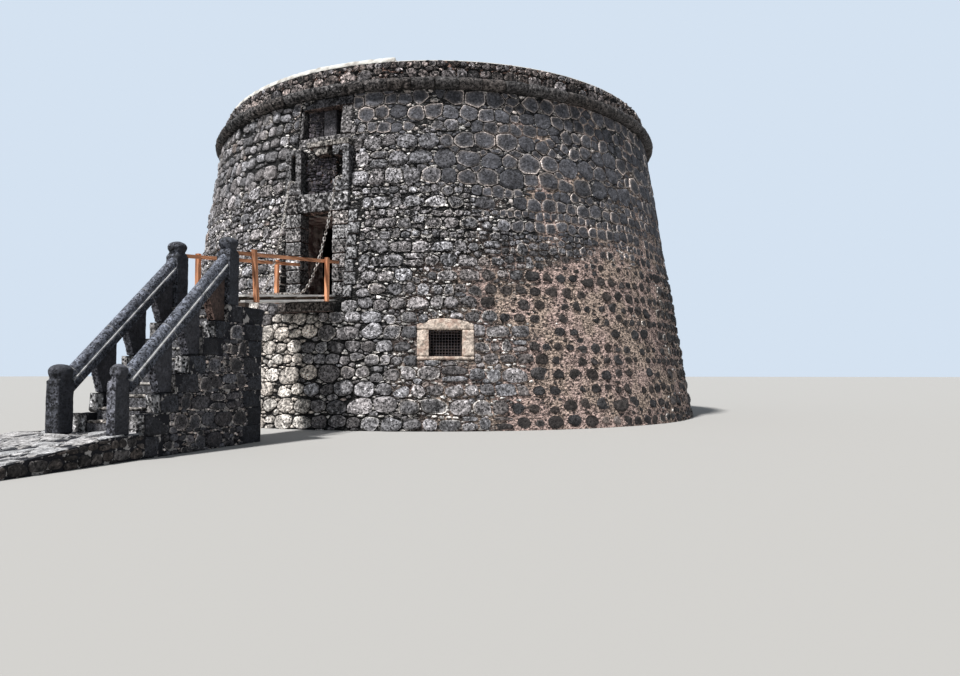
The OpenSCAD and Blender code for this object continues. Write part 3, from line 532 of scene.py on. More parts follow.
@shared(roughness=0.7, specular=0.35)
def bearer_timber(f):
    timber(f, (0.12, 0.085, 0.065), (1.6, 26, 26))


@shared(roughness=0.7, specular=0.35)
def rail_timber(f):
    timber(f, tuple(gangway().softwood), (24, 1.4, 24))


@shared(roughness=0.7, specular=0.35)
def post_timber(f):
    timber(f, tuple(gangway().softwood), (24, 24, 1.4))


@shared(roughness=0.7, specular=0.4)
def black_iron(f):
    f.colour(f.mix(f.ramp(f.noise(30.0, 3.0), 0.4, 0.6), (0.055, 0.055, 0.066), (0.10, 0.078, 0.075)))


@shared(roughness=0.75, specular=0.5)
def chain_iron(f):
    link = f.node("ShaderNodeNewGeometry").outputs["Random Per Island"]
    # Each link is dark or pale at random: the pale links are painted highlights; the dark and speckled
    # colours are the rusty iron
    glinting_link = f.mix(f.ramp(link, 0.35, 0.6), (0.13, 0.11, 0.10), tuple(gangway().link_glint))
    f.colour(f.mix(f.ramp(f.noise(40.0, 3.0), 0.5, 0.65), glinting_link, (0.16, 0.135, 0.12)))
    f.bump(f.noise(90.0, 3.0), 0.002)


def dress(material, *nodes):
    """Gives CAD nodes their finish through their objects' own slots."""
    for name in nodes:
        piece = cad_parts[name]
        if not piece.material_slots:
            piece.data.materials.append(material)
        for slot in piece.material_slots:
            slot.link = "OBJECT"
            slot.material = material


def finish_piece(piece, material):
    piece.data.materials.append(material)
    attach(piece, "root")
    return piece


def tinted(rng, base, spread=0.25, warm=0.0):
    """A stone's own colour: lighter or darker than the base, and warmer by up to a share."""
    light = math.exp(min(max(rng.gauss(0, spread), -1.6 * spread), 1.4 * spread))
    heat = warm * rng.random()
    return tuple(c * light * k for c, k in zip(base, (1 + heat, 1 + 0.25 * heat, 1 - 0.3 * heat)))


def blended(a, b, share):
    return tuple(p + (q - p) * share for p, q in zip(a, b))


def between_rings(first, count, rings):
    """The quads between rings of points that follow one another in a mesh."""
    starts = range(first, first + (rings - 1) * count, count)
    return [(start + i, start + i + count, start + (i + 1) % count + count, start + (i + 1) % count)
            for start in starts for i in range(count)]


class Stonework:
    """Collects stones laid on a surface and turns them into one mesh."""

    def __init__(self, place):
        self.place = place
        self.points = []
        self.faces = []
        self.flat = []
        self.tints = []

    def add(self, outline, proud, tint, rng, sink=0.03, crown=0.84, wobble=0.1, lean=0.12, rim=None,
            coarse=1.0, chip=False):
        """Adds a stone: rings of points up to a rough domed face, with a worn pale rim; a chip is plainer."""
        count = len(outline)
        mid_u = sum(p[0] for p in outline) / count
        mid_v = sum(p[1] for p in outline) / count
        first = len(self.points)
        lean_u = rng.uniform(-lean, lean)
        lean_v = rng.uniform(-lean, lean)
        levels = [(1.0, -sink, 0.4)]
        if chip:
            levels += [(0.9, proud * 0.8, 1.0)]
        else:
            levels += [(0.975, proud * 0.6, 1.0), (crown, proud * 0.92, 1.0), (crown * 0.6, proud, 1.0)]
        worn_side = rng.uniform(0, 2 * math.pi)
        for k, (share, lift, light) in enumerate(levels):
            for u, v in outline:
                away = math.atan2(v - mid_v, u - mid_u) - worn_side
                base = blended(tint, rim, RIM_SHARES[k] * (0.6 + 0.4 * math.cos(away))) if rim else tint
                du, dv = (u - mid_u) * share, (v - mid_v) * share
                rise = lift
                if k > 0:
                    rise += proud * wobble * rng.uniform(-1, 1) + (lean_u * du + lean_v * dv) * (k > 1)
                self.points.append((mid_u + du, mid_v + dv, rise))
                shade = light * rng.uniform(0.8, 1.2)
                self.tints.append((base[0] * shade, base[1] * shade, base[2] * shade, coarse))
        self.points.append((mid_u, mid_v, proud * rng.uniform(0.95, 1.1)))
        self.tints.append((*tint, coarse))
        sides = between_rings(first, count, len(levels))
        self.flat.extend(range(len(self.faces), len(self.faces) + min(len(sides), 2 * count)))
        self.faces.extend(sides)
        last = first + (len(levels) - 1) * count
        top = len(self.points) - 1
        for i in range(count):
            self.faces.append((last + (i + 1) % count, last + i, top))

    def placed(self):
        """The stones' points on their surface."""
        flat = np.array(self.points, dtype=float)
        return np.stack(self.place(flat[:, 0], flat[:, 1], flat[:, 2]), axis=1).tolist()

    def build(self, name, material, slot):
        return tinted_mesh(name, self.placed(), self.faces, self.tints, material, self.flat)


def linked(name, points, faces):
    """A new object of the given mesh, in the scene."""
    mesh = bpy.data.meshes.new(name)
    mesh.from_pydata(points, [], faces)
    piece = bpy.data.objects.new(name, mesh)
    bpy.context.scene.collection.objects.link(piece)
    return piece


def tinted_mesh(name, points, faces, tints, material, flat=()):
    """A piece with a colour at each point; all its faces but the flat ones are smooth."""
    piece = linked(name, points, faces)
    mesh = piece.data
    layer = mesh.attributes.new("tint", "FLOAT_COLOR", "POINT")
    layer.data.foreach_set("color", [c for tint in tints for c in (*tint, 1.0)[:4]])
    smooth_faces = np.ones(len(mesh.polygons), dtype=bool)
    smooth_faces[list(flat)] = False
    mesh.polygons.foreach_set("use_smooth", smooth_faces)
    mesh.update()
    bm = bmesh.new()
    bm.from_mesh(mesh)
    bmesh.ops.recalc_face_normals(bm, faces=bm.faces)
    bm.to_mesh(mesh)
    bm.free()
    return finish_piece(piece, material)


def clipped(outline, nx, ny, limit):
    """The part of a convex outline where nx * u + ny * v stays under the limit."""
    kept = []
    for i, p in enumerate(outline):
        q = outline[i - 1]
        dp = p[0] * nx + p[1] * ny - limit
        dq = q[0] * nx + q[1] * ny - limit
        if (dp < 0) != (dq < 0):
            t = dq / (dq - dp)
            kept.append((q[0] + (p[0] - q[0]) * t, q[1] + (p[1] - q[1]) * t))
        if dp < 0:
            kept.append(p)
    return kept


def worn(outline, cut=0.27):
    """The outline with its corners worn round."""
    rounded = []
    for i, p in enumerate(outline):
        q = outline[(i + 1) % len(outline)]
        rounded.append((p[0] + (q[0] - p[0]) * cut, p[1] + (q[1] - p[1]) * cut))
        rounded.append((q[0] + (p[0] - q[0]) * cut, q[1] + (p[1] - q[1]) * cut))
    return rounded


def simplified(outline, least):
    """The outline without points that lie closer together than the least distance."""
    kept = []
    for p in outline:
        if not kept or math.dist(p, kept[-1]) > least:
            kept.append(p)
    while len(kept) > 3 and math.dist(kept[0], kept[-1]) <= least:
        kept.pop()
    return kept


def softened(outline, least, cut=0.27):
    """The outline in few points, with its corners worn round."""
    return simplified(worn(simplified(outline, least), cut), 0.012)


class Rubble:
    """Random rubble on an unrolled surface: rows of large stones, then small ones in what they leave."""

    def __init__(self, seed, low_u, high_u, low_v, high_v, wraps=False, size_at=lambda u, v: 1.0,
                 stretch=1.28, loose_at=lambda u, v: 0.0):
        self.rng = random.Random(seed)
        self.stretch = stretch
        self.low_u, self.high_u = low_u, high_u
        self.low_v, self.high_v = low_v, high_v
        self.wraps = wraps
        self.size_at = size_at
        self.loose_at = loose_at
        self.pitch = 0.56
        self.grid = {}
        self.laid = []
        self.thrown = []

    def near(self, a, b):
        i, j = int(a // self.pitch), int(b // self.pitch)
        for di in (-1, 0, 1):
            for dj in (-1, 0, 1):
                yield from self.grid.get((i + di, j + dj), ())

    def take(self, a, b, r):
        """Marks a round place as taken; a is the distance along the surface divided by the stretch."""
        places = [a]
        if self.wraps:
            span = (self.high_u - self.low_u) / self.stretch
            places += [a - span, a + span]
        for place in places:
            self.grid.setdefault((int(place // self.pitch), int(b // self.pitch)), []).append((place, b, r))

    def lay(self, u, v, half_u, half_v, left, right):
        """Lays a stone with slanted sides and an uneven, rounded foot and top."""
        pick = self.rng.uniform

        def at(side, q):
            return (side * half_u + (left if side < 0 else right) * q, q)

        crest = pick(-0.25, 0.25)
        outline = [at(-1, -half_v * pick(0.35, 0.9)),
                   (half_u * pick(-0.62, -0.3), -half_v * pick(0.86, 1.0)),
                   (half_u * pick(0.3, 0.62), -half_v * pick(0.86, 1.0)),
                   at(1, -half_v * pick(0.35, 0.9)),
                   at(1, half_v * pick(0.2, 0.8)),
                   (half_u * (crest + pick(0.28, 0.5)), half_v * pick(0.86, 1.0)),
                   (half_u * (crest - pick(0.28, 0.5)), half_v * pick(0.86, 1.0)),
                   at(-1, half_v * pick(0.2, 0.8))]
        self.laid.append((u, v, half_u, half_v, outline))
        r = min(half_v, half_u / self.stretch)
        free = half_u / self.stretch - r
        count = 1 + math.ceil(free / (0.6 * r))
        for k in range(count):
            share = 0.0 if count == 1 else 2 * k / (count - 1) - 1
            self.take(u / self.stretch + share * free, v, 0.94 * r)

    def row(self, low, high, skip=0.06, waver=0.06, longest=1.5):
        """Lays a row of stones side by side: squared ones, some in twos one on the other, or loose ones."""
        pick = self.rng.uniform
        half = (high - low) / 2
        phase = low * 3.7
        u = self.low_u + half * pick(0.0, 0.6)
        left = pick(-0.25, 0.25)
        while True:
            size = self.size_at(u, low + half)
            loose = self.rng.random() < self.loose_at(u, low + half)
            half_u = half * size * (self.stretch * pick(0.66, 1.12) if loose else pick(0.75, longest))
            if u + 1.5 * half_u > self.high_u:
                break
            right = pick(-0.25, 0.25)
            u += half_u
            v = low + half + waver * wander(u, 0.0, 0.5, phase)
            v += pick(-0.1, 0.1) * half * (1 + loose)
            v = min(max(v, self.low_v + 0.7 * half), self.high_v - 0.7 * half)
            if self.rng.random() > skip:
                if loose:
                    self.thrown.append((u / self.stretch, v, half_u / self.stretch))
                    self.take(*self.thrown[-1])
                elif self.rng.random() < (0.12 if size > 0.75 else 0.75):
                    part = pick(0.36, 0.64)
                    self.lay(u, v - half * (1 - part), half_u, half * part, left, right)
                    self.lay(u, v + half * part, half_u, half * (1 - part), left, right)
                else:
                    self.lay(u, v, half_u, half * pick(0.8, 1.04), left, right)
            u += half_u
            left = right

    def throw(self, low, high, tries, closeness=0.9, share_at=lambda u, v: 1.0):
        """Throws stones of a range of sizes where there is room."""
        for _ in range(tries):
            a = self.rng.uniform(self.low_u, self.high_u) / self.stretch
            b = self.rng.uniform(self.low_v, self.high_v)
            r = self.rng.uniform(low, high)
            if self.rng.random() > share_at(a * self.stretch, b):
                continue
            if all((a - x) ** 2 + (b - y) ** 2 >= (closeness * (r + s)) ** 2
                   for x, y, s in self.near(a, b)):
                self.thrown.append((a, b, r))
                self.take(a, b, r)

    def blank(self, r, tight):
        """A thrown stone's rough shape before its neighbours cut it: a block with uneven corners, askew."""
        pick = self.rng.uniform
        large = r > 0.07
        count = self.rng.choice((4, 5, 5, 6)) if large else 5
        wide = pick(0.92, 1.22) if large else pick(1.0, 1.6)
        flat = pick(0.84, 1.04) if large else pick(0.5, 0.85)
        square = pick(2.6, 5.0)
        turn = pick(0, 2 * math.pi)
        askew = pick(-0.2, 0.2)
        outline = []
        for k in range(count):
            t = turn + 2 * math.pi * (k + pick(-0.32, 0.32)) / count
            c, s = math.cos(t), math.sin(t)
            reach = r * tight * pick(0.88, 1.2)
            reach /= (abs(c) ** square + abs(s) ** square) ** (1 / square)
            p, q = reach * c * wide, reach * s * flat
            outline.append((p - q * askew, q + p * askew))
        return outline

    def inside(self, outline):
        """The part of an outline that lies within the surface."""
        outline = clipped(clipped(outline, 0, -1, -self.low_v), 0, 1, self.high_v)
        if not self.wraps:
            outline = clipped(clipped(outline, 1, 0, self.high_u), -1, 0, -self.low_u)
        return outline

    def outlines(self, gap_at, tight_at=lambda u, v: 1.2):
        """Yields (u, v, r, outline) for each stone; a thrown one is cut off half-way to its neighbours."""
        for u, v, half_u, half_v, outline in self.laid:
            r = min(half_u, half_v)
            gap = gap_at(u, v) * min(1.0, 0.45 + 3.2 * r) / 2
            less_u, less_v = 1 - gap / half_u, 1 - gap / half_v
            outline = self.inside([(u + p * less_u, v + q * less_v) for p, q in outline])
            if len(outline) >= 3:
                yield u, v, r, outline
        for a, b, r in self.thrown:
            tight = tight_at(a * self.stretch, b)
            outline = self.blank(r, tight)
            reach = 1.5 * tight * r
            gap = gap_at(a * self.stretch, b) * min(1.0, 0.45 + 3.2 * r)
            cuts = []
            for x, y, s in self.near(a, b):
                x, y = x - a, y - b
                far = math.hypot(x, y)
                if 1e-6 < far < 2.2 * (reach + s):
                    cuts.append(((far * far + r * r - s * s) / (2 * far) - gap / 2, x / far, y / far))
            cuts.sort()
            for limit, nx, ny in cuts:
                if limit > reach or len(outline) < 3:
                    break
                outline = clipped(outline, nx, ny, limit)
            outline = self.inside([((a + p) * self.stretch, b + q) for p, q in outline])
            if len(outline) >= 3:
                yield a * self.stretch, b, r, outline


def wander(u, v, scale, phase):
    return noise.noise(Vector((u * scale, v * scale, phase)))


def wall_turn(u):
    """Degrees from the door's direction, towards the right, of a point on the unrolled wall."""
    return math.degrees(u / UNROLLED_RADIUS)


def smear_at(u, v):
    """Share of the wall that smeared mortar hides, from 0 to 1."""
    turn = wall_turn(u) + 16 * wander(u, v, 0.7, 3.1)
    level = v + 1.1 * wander(u, v, 0.6, 8.4)
    slope = level - 0.9 * smooth(44, 72, turn)
    thinner = 1 - 0.45 * smooth(62, 76, turn)
    low = smooth(23, 42, turn) * smooth(4.6, 3.8, slope) * thinner * smooth(118, 96, turn)
    edge = 0.5 * smooth(58, 74, turn) * smooth(7.4, 5.4, level) * smooth(118, 100, turn)
    return max(low, edge)


def dense_at(u, v):
    """Share of the dense dark stones of the upper wall, from 0 to 1."""
    turn = wall_turn(u) + 8 * wander(u, v, 0.5, 5.5)
    floor = 6.3 - 1.7 * smooth(28, 46, turn)
    right = smooth(8, 26, turn) * smooth(floor - 0.5, floor + 0.5, v) * smooth(150, 120, turn)
    top = smooth(7.7, 8.3, v + 0.5 * wander(u, v, 0.6, 1.5)) * smooth(-16, 2, turn)
    return max(right, top)


def deep_at(u, v):
    """Share of the deep open joints on the left, high up, from 0 to 1."""
    turn = wall_turn(u) + 5 * wander(u, v, 0.6, 17.5)
    return smooth(-150, -115, turn) * smooth(-7, -12, turn) * smooth(6.3, 6.9, v)


def round_at(u, v):
    """Share of the close round stones low on the left, from 0 to 1."""
    turn = wall_turn(u) + 5 * wander(u, v, 0.6, 17.5)
    return smooth(-150, -115, turn) * smooth(15, 7, turn) * smooth(3.8, 3.3, v)


def fine_at(u, v):
    """Share of the small dark stones above the smeared mortar, from 0 to 1."""
    turn = wall_turn(u) + 6 * wander(u, v, 0.6, 12.5)
    return smooth(26, 36, turn) * smooth(74, 60, turn) * smooth(3.9, 4.3, v) * smooth(5.7, 5.1, v)


def stone_size_at(u, v):
    turn = wall_turn(u)
    left = smooth(-12, -24, turn) * smooth(5.6, 6.2, v)
    return (1 - 0.2 * left) * (1 - 0.4 * fine_at(u, v)) * (1 - 0.15 * smooth(50, 66, turn) * smear_at(u, v))


def row_heights(rng):
    """Yields the low and the high edge of each row of the wall's large stones."""
    low = 0.0
    while low < WALL_HEIGHT - 0.05:
        if COURSED_FOOT <= low < COURSED_HEAD:
            high = low + rng.choice(COURSED_ROWS)
        else:
            high = low + rng.uniform(*next(sizes for top, *sizes in ROUGH_ROWS if low < top))
        if WALL_HEIGHT - high < 0.16:
            high = WALL_HEIGHT - 0.01
        yield low, high
        low = high


def stone_tint(rng, turn, v, chip, dense, smear, fine):
    """A rubble stone's colour and the colour of its worn rim, if it has one."""
    pale = smooth(-27, -13, turn) * smooth(4, -6, turn) * smooth(3.6, 2.4, v)
    if rng.random() < 1.3 * pale:
        return tinted(rng, (0.50, 0.475, 0.45), 0.22, 0.08), None
    if chip and rng.random() < 0.7 * (1 - dense) * (1 - 0.6 * fine) * (1 - smear):
        return tinted(rng, (0.62, 0.61, 0.60), 0.3, 0.05), None
    if chip and rng.random() < 0.5 * dense:
        return tinted(rng, (0.46, 0.43, 0.42), 0.3, 0.1), None
    if rng.random() < 0.015 * (1 - dense):
        return tinted(rng, (0.24, 0.212, 0.205), 0.2, 0.12), None
    shade = 1 - 0.61 * max(dense, 0.7 * fine) + (0.5 + 0.45 * smooth(5, 14, turn)) * smooth(3.6, 2.6, v)
    shade += 0.25 * smooth(-8, -14, turn) * smooth(5.6, 6.4, v)
    shade = min(shade, 1 - 0.80 * smooth(0.2, 0.6, smear))
    cool = 0.04 * dense
    base = [c * shade * k for c, k in zip(masonry().basalt, (1 - cool, 1 - 0.6 * cool, 1 + cool))]
    tint = tinted(rng, base, 0.42 - 0.2 * max(dense, smear), 0.1 * (1 - dense) + 0.2 * smear)
    rim = None
    if not chip and rng.random() < (0.25 + 0.5 * dense) * (1 - smear):
        rim = tinted(rng, blended((0.64, 0.625, 0.61), (0.80, 0.72, 0.69), dense), 0.25, 0.08)
    return tint, rim


def window_turn(k):
    """The way a low window looks, from the door's way."""
    return math.radians(WINDOW_TURN + 360 / WINDOWS * k)


def wall_gaps(v):
    """Parts of the unrolled wall that dressed stone or an opening takes up, at a height."""
    radius = wall_radius(v)

    def turned(x):
        return UNROLLED_RADIUS * math.asin(x / radius)

    left, right = DOOR_X - PORTAL_HALF, DOOR_X + PORTAL_HALF
    yield turned(left), turned(right), PORTAL_FOOT, LEDGE_TOP
    yield *map(turned, UPPER_WINDOW_SIDES), LEDGE_TOP - 0.02, LINTEL_FOOT + 0.06
    yield *map(turned, UPPER_LINTEL_SIDES), LINTEL_FOOT, WALL_HEIGHT
    yield turned(right - 0.01), turned(right + 0.36), JAMB_FOOT - 0.04, DOOR_HEAD + 0.1
    for k in range(WINDOWS):
        middle = window_turn(k)
        if middle > math.pi:
            middle -= 2 * math.pi
        half = (WINDOW_WIDTH / 2 + WINDOW_FRAME) * UNROLLED_RADIUS / radius
        middle *= UNROLLED_RADIUS
        head = WINDOW_SILL + WINDOW_HEIGHT
        yield middle - half, middle + half, WINDOW_SILL - 0.09, head + 0.15
        yield middle - 0.6 * half, middle + 0.6 * half, head, head + 0.28


def cut_round_gaps(u, v, outline):
    """The outline without what lies in a gap of the wall, or None where its middle does."""
    low_u, high_u = min(p[0] for p in outline), max(p[0] for p in outline)
    low_v, high_v = min(p[1] for p in outline), max(p[1] for p in outline)
    for left, right, foot, head in wall_gaps(min(max(v, 0.1), 8.9)):
        if high_u < left or low_u > right or high_v < foot or low_v > head:
            continue
        ways = [(left - u, 1, 0, left), (u - right, -1, 0, -right),
                (foot - v, 0, 1, foot), (v - head, 0, -1, -head)]
        away, nx, ny, limit = max(ways)
        if away < 0:
            return None
        outline = clipped(outline, nx, ny, limit - 0.006)
        if len(outline) < 3:
            return None
    return outline


def on_wall(u, v, lift):
    angle = u / UNROLLED_RADIUS
    radius = wall_radius(v) + lift
    return radius * np.sin(angle), -radius * np.cos(angle), v


def across_x(x, side):
    """An upright plane at x, with its stones towards one side; u runs along -Y."""
    return lambda u, v, lift: (x + side * lift, -u, v)


def across_y(y, side):
    """An upright plane at y, with its stones towards one side; u runs along X."""
    return lambda u, v, lift: (u, y + side * lift, v)


class TOWER_OT_rubble_wall(bpy.types.Operator):
    """Lays the random rubble of the tower's wall, stone by stone"""
    bl_idname = "tower.rubble_wall"
    bl_label = "Rubble wall"

    def execute(self, context):
        settings = masonry()
        rng = random.Random(settings.seed + 1)
        half = math.pi * UNROLLED_RADIUS

        def loose(u, v):
            return 0.12 + 0.88 * max(dense_at(u, v), smooth(0.2, 0.5, smear_at(u, v)), 0.7 * round_at(u, v))

        rubble = Rubble(settings.seed, -half, half, 0.0, WALL_HEIGHT - 0.01, wraps=True,
                        size_at=stone_size_at, loose_at=loose)
        for low, high in row_heights(rng):
            rubble.row(low, high, longest=1.35 if low > 6 else 1.6)
        rubble.throw(0.10, 0.14, 9000, 0.86)
        rubble.throw(0.06, 0.09, 16000, 0.88, lambda u, v: 1 - 0.7 * max(dense_at(u, v), deep_at(u, v)))
        rubble.throw(0.03, 0.05, 60000, 0.88,
                     lambda u, v: 1 - max(0.86 * dense_at(u, v), 0.93 * deep_at(u, v), 0.5 * round_at(u, v)))

        def gap(u, v):
            share = 1 - 0.4 * max(dense_at(u, v), round_at(u, v)) + 0.6 * deep_at(u, v)
            return settings.joint * share + 0.02 * smear_at(u, v)

        def tight(u, v):
            return 1.2 + 0.4 * max(dense_at(u, v), 0.6 * round_at(u, v)) + 0.05 * smear_at(u, v)

        quarters = [Stonework(on_wall) for _ in range(4)]
        for u, v, r, outline in rubble.outlines(gap, tight):
            smear, dense, fine, deep = smear_at(u, v), dense_at(u, v), fine_at(u, v), deep_at(u, v)
            chip = r < 0.055
            if rng.random() < (0.7 if r < 0.1 else 0.16) * smear:
                continue
            outline = cut_round_gaps(u, v, outline)
            if outline is None:
                continue
            if smear > 0.25:
                share = 1 - 0.13 * smear * rng.uniform(0.0, 2.0)
                outline = [(u + (p - u) * share, v + (q - v) * share) for p, q in outline]
            outline = simplified(outline, 0.012 if chip else 0.035)
            if len(outline) < 3:
                continue
            if not chip:
                cut = rng.uniform(0.14, 0.24) * (1 - 0.35 * max(dense, smear))
                outline = simplified(worn(outline, cut), 0.03)
            size = 0.65 if chip else math.sqrt(r / 0.2)
            proud = settings.stone_proud * size * rng.uniform(0.7, 1.2)
            proud *= (1 - 0.55 * dense) * (1 - 0.7 * smear) * (1 + 0.25 * deep)
            tint, rim = stone_tint(rng, wall_turn(u), v, chip, dense, smear, fine)
            quarter = quarters[int((u + half) / (2 * half) * 4) % 4]
            quarter.add(outline, proud, tint, rng, crown=rng.uniform(0.82, 0.9), wobble=0.18,
                        lean=0.2 * (1 - 0.6 * dense), rim=rim, chip=chip,
                        coarse=1 - 0.6 * max(dense, smear, 0.8 * deep, smooth(3.8, 2.8, v) * 0.5))
        for name, quarter in zip(("rear_left", "front_left", "front_right", "rear_right"), quarters):
            quarter.build("rubble_" + name, rubble_basalt(), "rubble")
        walls = [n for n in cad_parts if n.startswith("wall_")] + ["threshold"]
        dress(wall_mortar(), *walls)
        return {"FINISHED"}


def face_rubble(work, rubble, rng, base, relief, joint, spread, warm, pale, coarse=1.0, chip=None):
    """Adds the stones of a small stretch of rubble; the smallest may have a colour of their own."""
    for _, _, r, outline in rubble.outlines(lambda u, v: joint, lambda u, v: 1.35):
        outline = softened(outline, 0.02)
        if len(outline) > 2:
            rim = tinted(rng, (0.58, 0.53, 0.51), 0.2) if rng.random() < pale else None
            own = chip if chip and r < 0.045 else base
            work.add(outline, relief * rng.uniform(0.5, 1.3), tinted(rng, own, spread, warm), rng, crown=0.86,
                     rim=rim, coarse=coarse)


def squared(u0, u1, v0, v1, rng):
    """The outline of a squared stone with worn corners, inside half a joint."""
    joint, wobble = 0.014, 0.006
    u0, u1, v0, v1 = u0 + joint / 2, u1 - joint / 2, v0 + joint / 2, v1 - joint / 2
    corner = min(0.022, (u1 - u0) / 3, (v1 - v0) / 3)
    mid_u, mid_v = (u0 + u1) / 2, (v0 + v1) / 2
    outline = [(u0 + corner, v0), (mid_u, v0), (u1 - corner, v0), (u1, v0 + corner), (u1, mid_v),
               (u1, v1 - corner), (u1 - corner, v1), (mid_u, v1), (u0 + corner, v1), (u0, v1 - corner),
               (u0, mid_v), (u0, v0 + corner)]
    return [(u + rng.uniform(-wobble, wobble), v + rng.uniform(-wobble, wobble)) for u, v in outline]


def course(work, rng, u0, u1, v0, v1, length, base, proud, spread=0.22):
    """One course of squared stones of about the given length."""
    u = u0
    while u < u1 - 0.02:
        end = u + length * rng.uniform(0.7, 1.4)
        if end > u1 - length * 0.45:
            end = u1
        work.add(squared(u, end, v0, v1, rng), proud * rng.uniform(0.6, 1.3),
                 tinted(rng, base, spread, 0.12), rng, crown=0.93, wobble=0.25)
        u = end


class TOWER_OT_parapet(bpy.types.Operator):
    """Lays the rounded rubble of the parapet, outside and inside"""
    bl_idname = "tower.parapet"
    bl_label = "Parapet"

    def execute(self, context):
        rng = random.Random(masonry().seed + 11)
        foot, head = CORNICE_TOP + 0.005, PARAPET_TOP - 0.004
        middle = foot + PARAPET_ROW
        for name, radius, side in (("parapet_outside", PARAPET_RADIUS, 1),
                                   ("parapet_inside", PARAPET_INNER, -1)):
            def place(u, v, lift, radius=radius, side=side):
                angle, reach = u / radius, radius + side * lift
                return reach * np.sin(angle), -reach * np.cos(angle), v

            work = Stonework(place)
            half = math.pi * radius
            rubble = Rubble(masonry().seed + len(name), -half, half, foot, head, wraps=True,
                            loose_at=lambda u, v: 0.7)
            rubble.row(foot, middle, waver=0.02, longest=1.3)
            rubble.row(middle, head, waver=0.0)
            rubble.throw(0.05, 0.08, 1500)
            rubble.throw(0.03, 0.045, 2500)
            face_rubble(work, rubble, rng, (0.118, 0.116, 0.126), 0.05, 0.035, 0.65, 0.3, 0.6, 1.1)
            work.build(name, rubble_basalt(), "ashlar")
        dress(open_joints(), "parapet")
        return {"FINISHED"}


class TOWER_OT_cornice(bpy.types.Operator):
    """Carves the rounded stones of the cornice, each a little out of line"""
    bl_idname = "tower.cornice"
    bl_label = "Cornice"

    def execute(self, context):
        rng = random.Random(masonry().seed + 21)
        steps, back = 7, PARAPET_RADIUS - 0.06
        middle = WALL_HEIGHT + CORNICE_NOSE
        profile = [(back, WALL_HEIGHT)]
        for k in range(11):
            t = math.radians(-90 + 18 * k)
            profile.append((CORNICE_RADIUS - CORNICE_NOSE + CORNICE_NOSE * math.cos(t),
                            middle + CORNICE_NOSE * math.sin(t)))
        profile.append((back, CORNICE_TOP))
        count = len(profile)
        pitch = 360 / CORNICE_STONES
        for quarter, start in {"front": -135, "right": -45, "rear": 45, "left": 135}.items():
            points, faces, tints = [], [], []
            for stone in range(CORNICE_STONES // 4):
                shift, drop = rng.uniform(-0.008, 0.003), rng.uniform(-0.003, 0.003)
                coarse = 0.8 + 0.5 * smooth(30, 0, start + (stone + 0.5) * pitch + 90)
                tint = (*tinted(rng, (0.064, 0.061, 0.062), 0.15, 0.12), coarse)
                first = len(points)
                for step in range(steps + 1):
                    angle = math.radians(start + (stone + 0.02 + 0.96 * (step / steps)) * pitch)
                    end = 0.014 if step in (0, steps) else 0.0
                    for radius, level in profile:
                        r = radius + (shift if radius > back else 0)
                        place = Vector((r * math.cos(angle) * 5, r * math.sin(angle) * 5, level * 9))
                        rough = 0.016 * noise.noise(place)
                        if radius > back:
                            r += rough + 0.005 * rng.uniform(-1, 1) - end
                            level = middle + (level - middle) * (1 - end * 4) + drop + rough * 0.5
                        points.append((r * math.cos(angle), r * math.sin(angle),
                                       min(max(level, WALL_HEIGHT), CORNICE_TOP + 0.004)))
                faces.extend(between_rings(first, count, steps + 1))
                faces.append(tuple(range(first, first + count)))
                faces.append(tuple(range(first + (steps + 1) * count - 1, first + steps * count - 1, -1)))
                tints.extend([tint] * (len(points) - first))
            piece = tinted_mesh("cornice_roll_" + quarter, points, faces, tints, rubble_basalt())
            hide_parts("cornice_" + quarter)
        return {"FINISHED"}


def solids_of(name):
    """The separate solids of a CAD node, each as its points and faces."""
    bm = bmesh.new()
    bm.from_mesh(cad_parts[name].data)
    bmesh.ops.remove_doubles(bm, verts=bm.verts, dist=1e-6)
    bm.verts.ensure_lookup_table()
    seen = set()
    for start in bm.verts:
        if start.index in seen:
            continue
        group, queue = [], [start]
        seen.add(start.index)
        while queue:
            vert = queue.pop()
            group.append(vert)
            for edge in vert.link_edges:
                other = edge.other_vert(vert)
                if other.index not in seen:
                    seen.add(other.index)
                    queue.append(other)
        index = {vert.index: k for k, vert in enumerate(group)}
        faces = {face for vert in group for face in vert.link_faces}
        yield [vert.co.copy() for vert in group], [[index[v.index] for v in face.verts] for face in faces]
    bm.free()


def weathered(name, nodes, voxel, rough, material, base, spread=0.2, warm=0.1, shrink=0.003, shift=None,
              grain=1.0):
    """Replaces CAD nodes by their solids with worn edges and faces; the base is a colour or picks one."""
    rng = random.Random(name)
    points, faces, tints = [], [], []
    for node in nodes:
        for number, (corners, sides) in enumerate(solids_of(node)):
            solid = linked("solid", corners, sides)
            mesh = solid.data
            remesh = solid.modifiers.new("Worn", "REMESH")
            remesh.mode = "VOXEL"
            remesh.voxel_size = voxel
            done = solid.evaluated_get(bpy.context.evaluated_depsgraph_get()).to_mesh()
            first = len(points)
            for vert in done.vertices:
                place = vert.co
                bumpy = noise.noise(place * 6 * grain) + 0.6 * noise.noise(place * 17 * grain)
                moved = place + vert.normal * (rough * bumpy - shrink)
                moved.z = max(moved.z, 0.0)
                points.append(moved + shift if shift else moved)
            faces.extend([[first + v for v in face.vertices] for face in done.polygons])
            own = base(node, number) if callable(base) else base
            colour = (*tinted(rng, own, spread, warm), *own[3:])
            tints.extend([colour] * (len(points) - first))
            bpy.data.objects.remove(solid)
            bpy.data.meshes.remove(mesh)
    piece = tinted_mesh(name, points, faces, tints, material)
    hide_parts(*nodes)
    return piece


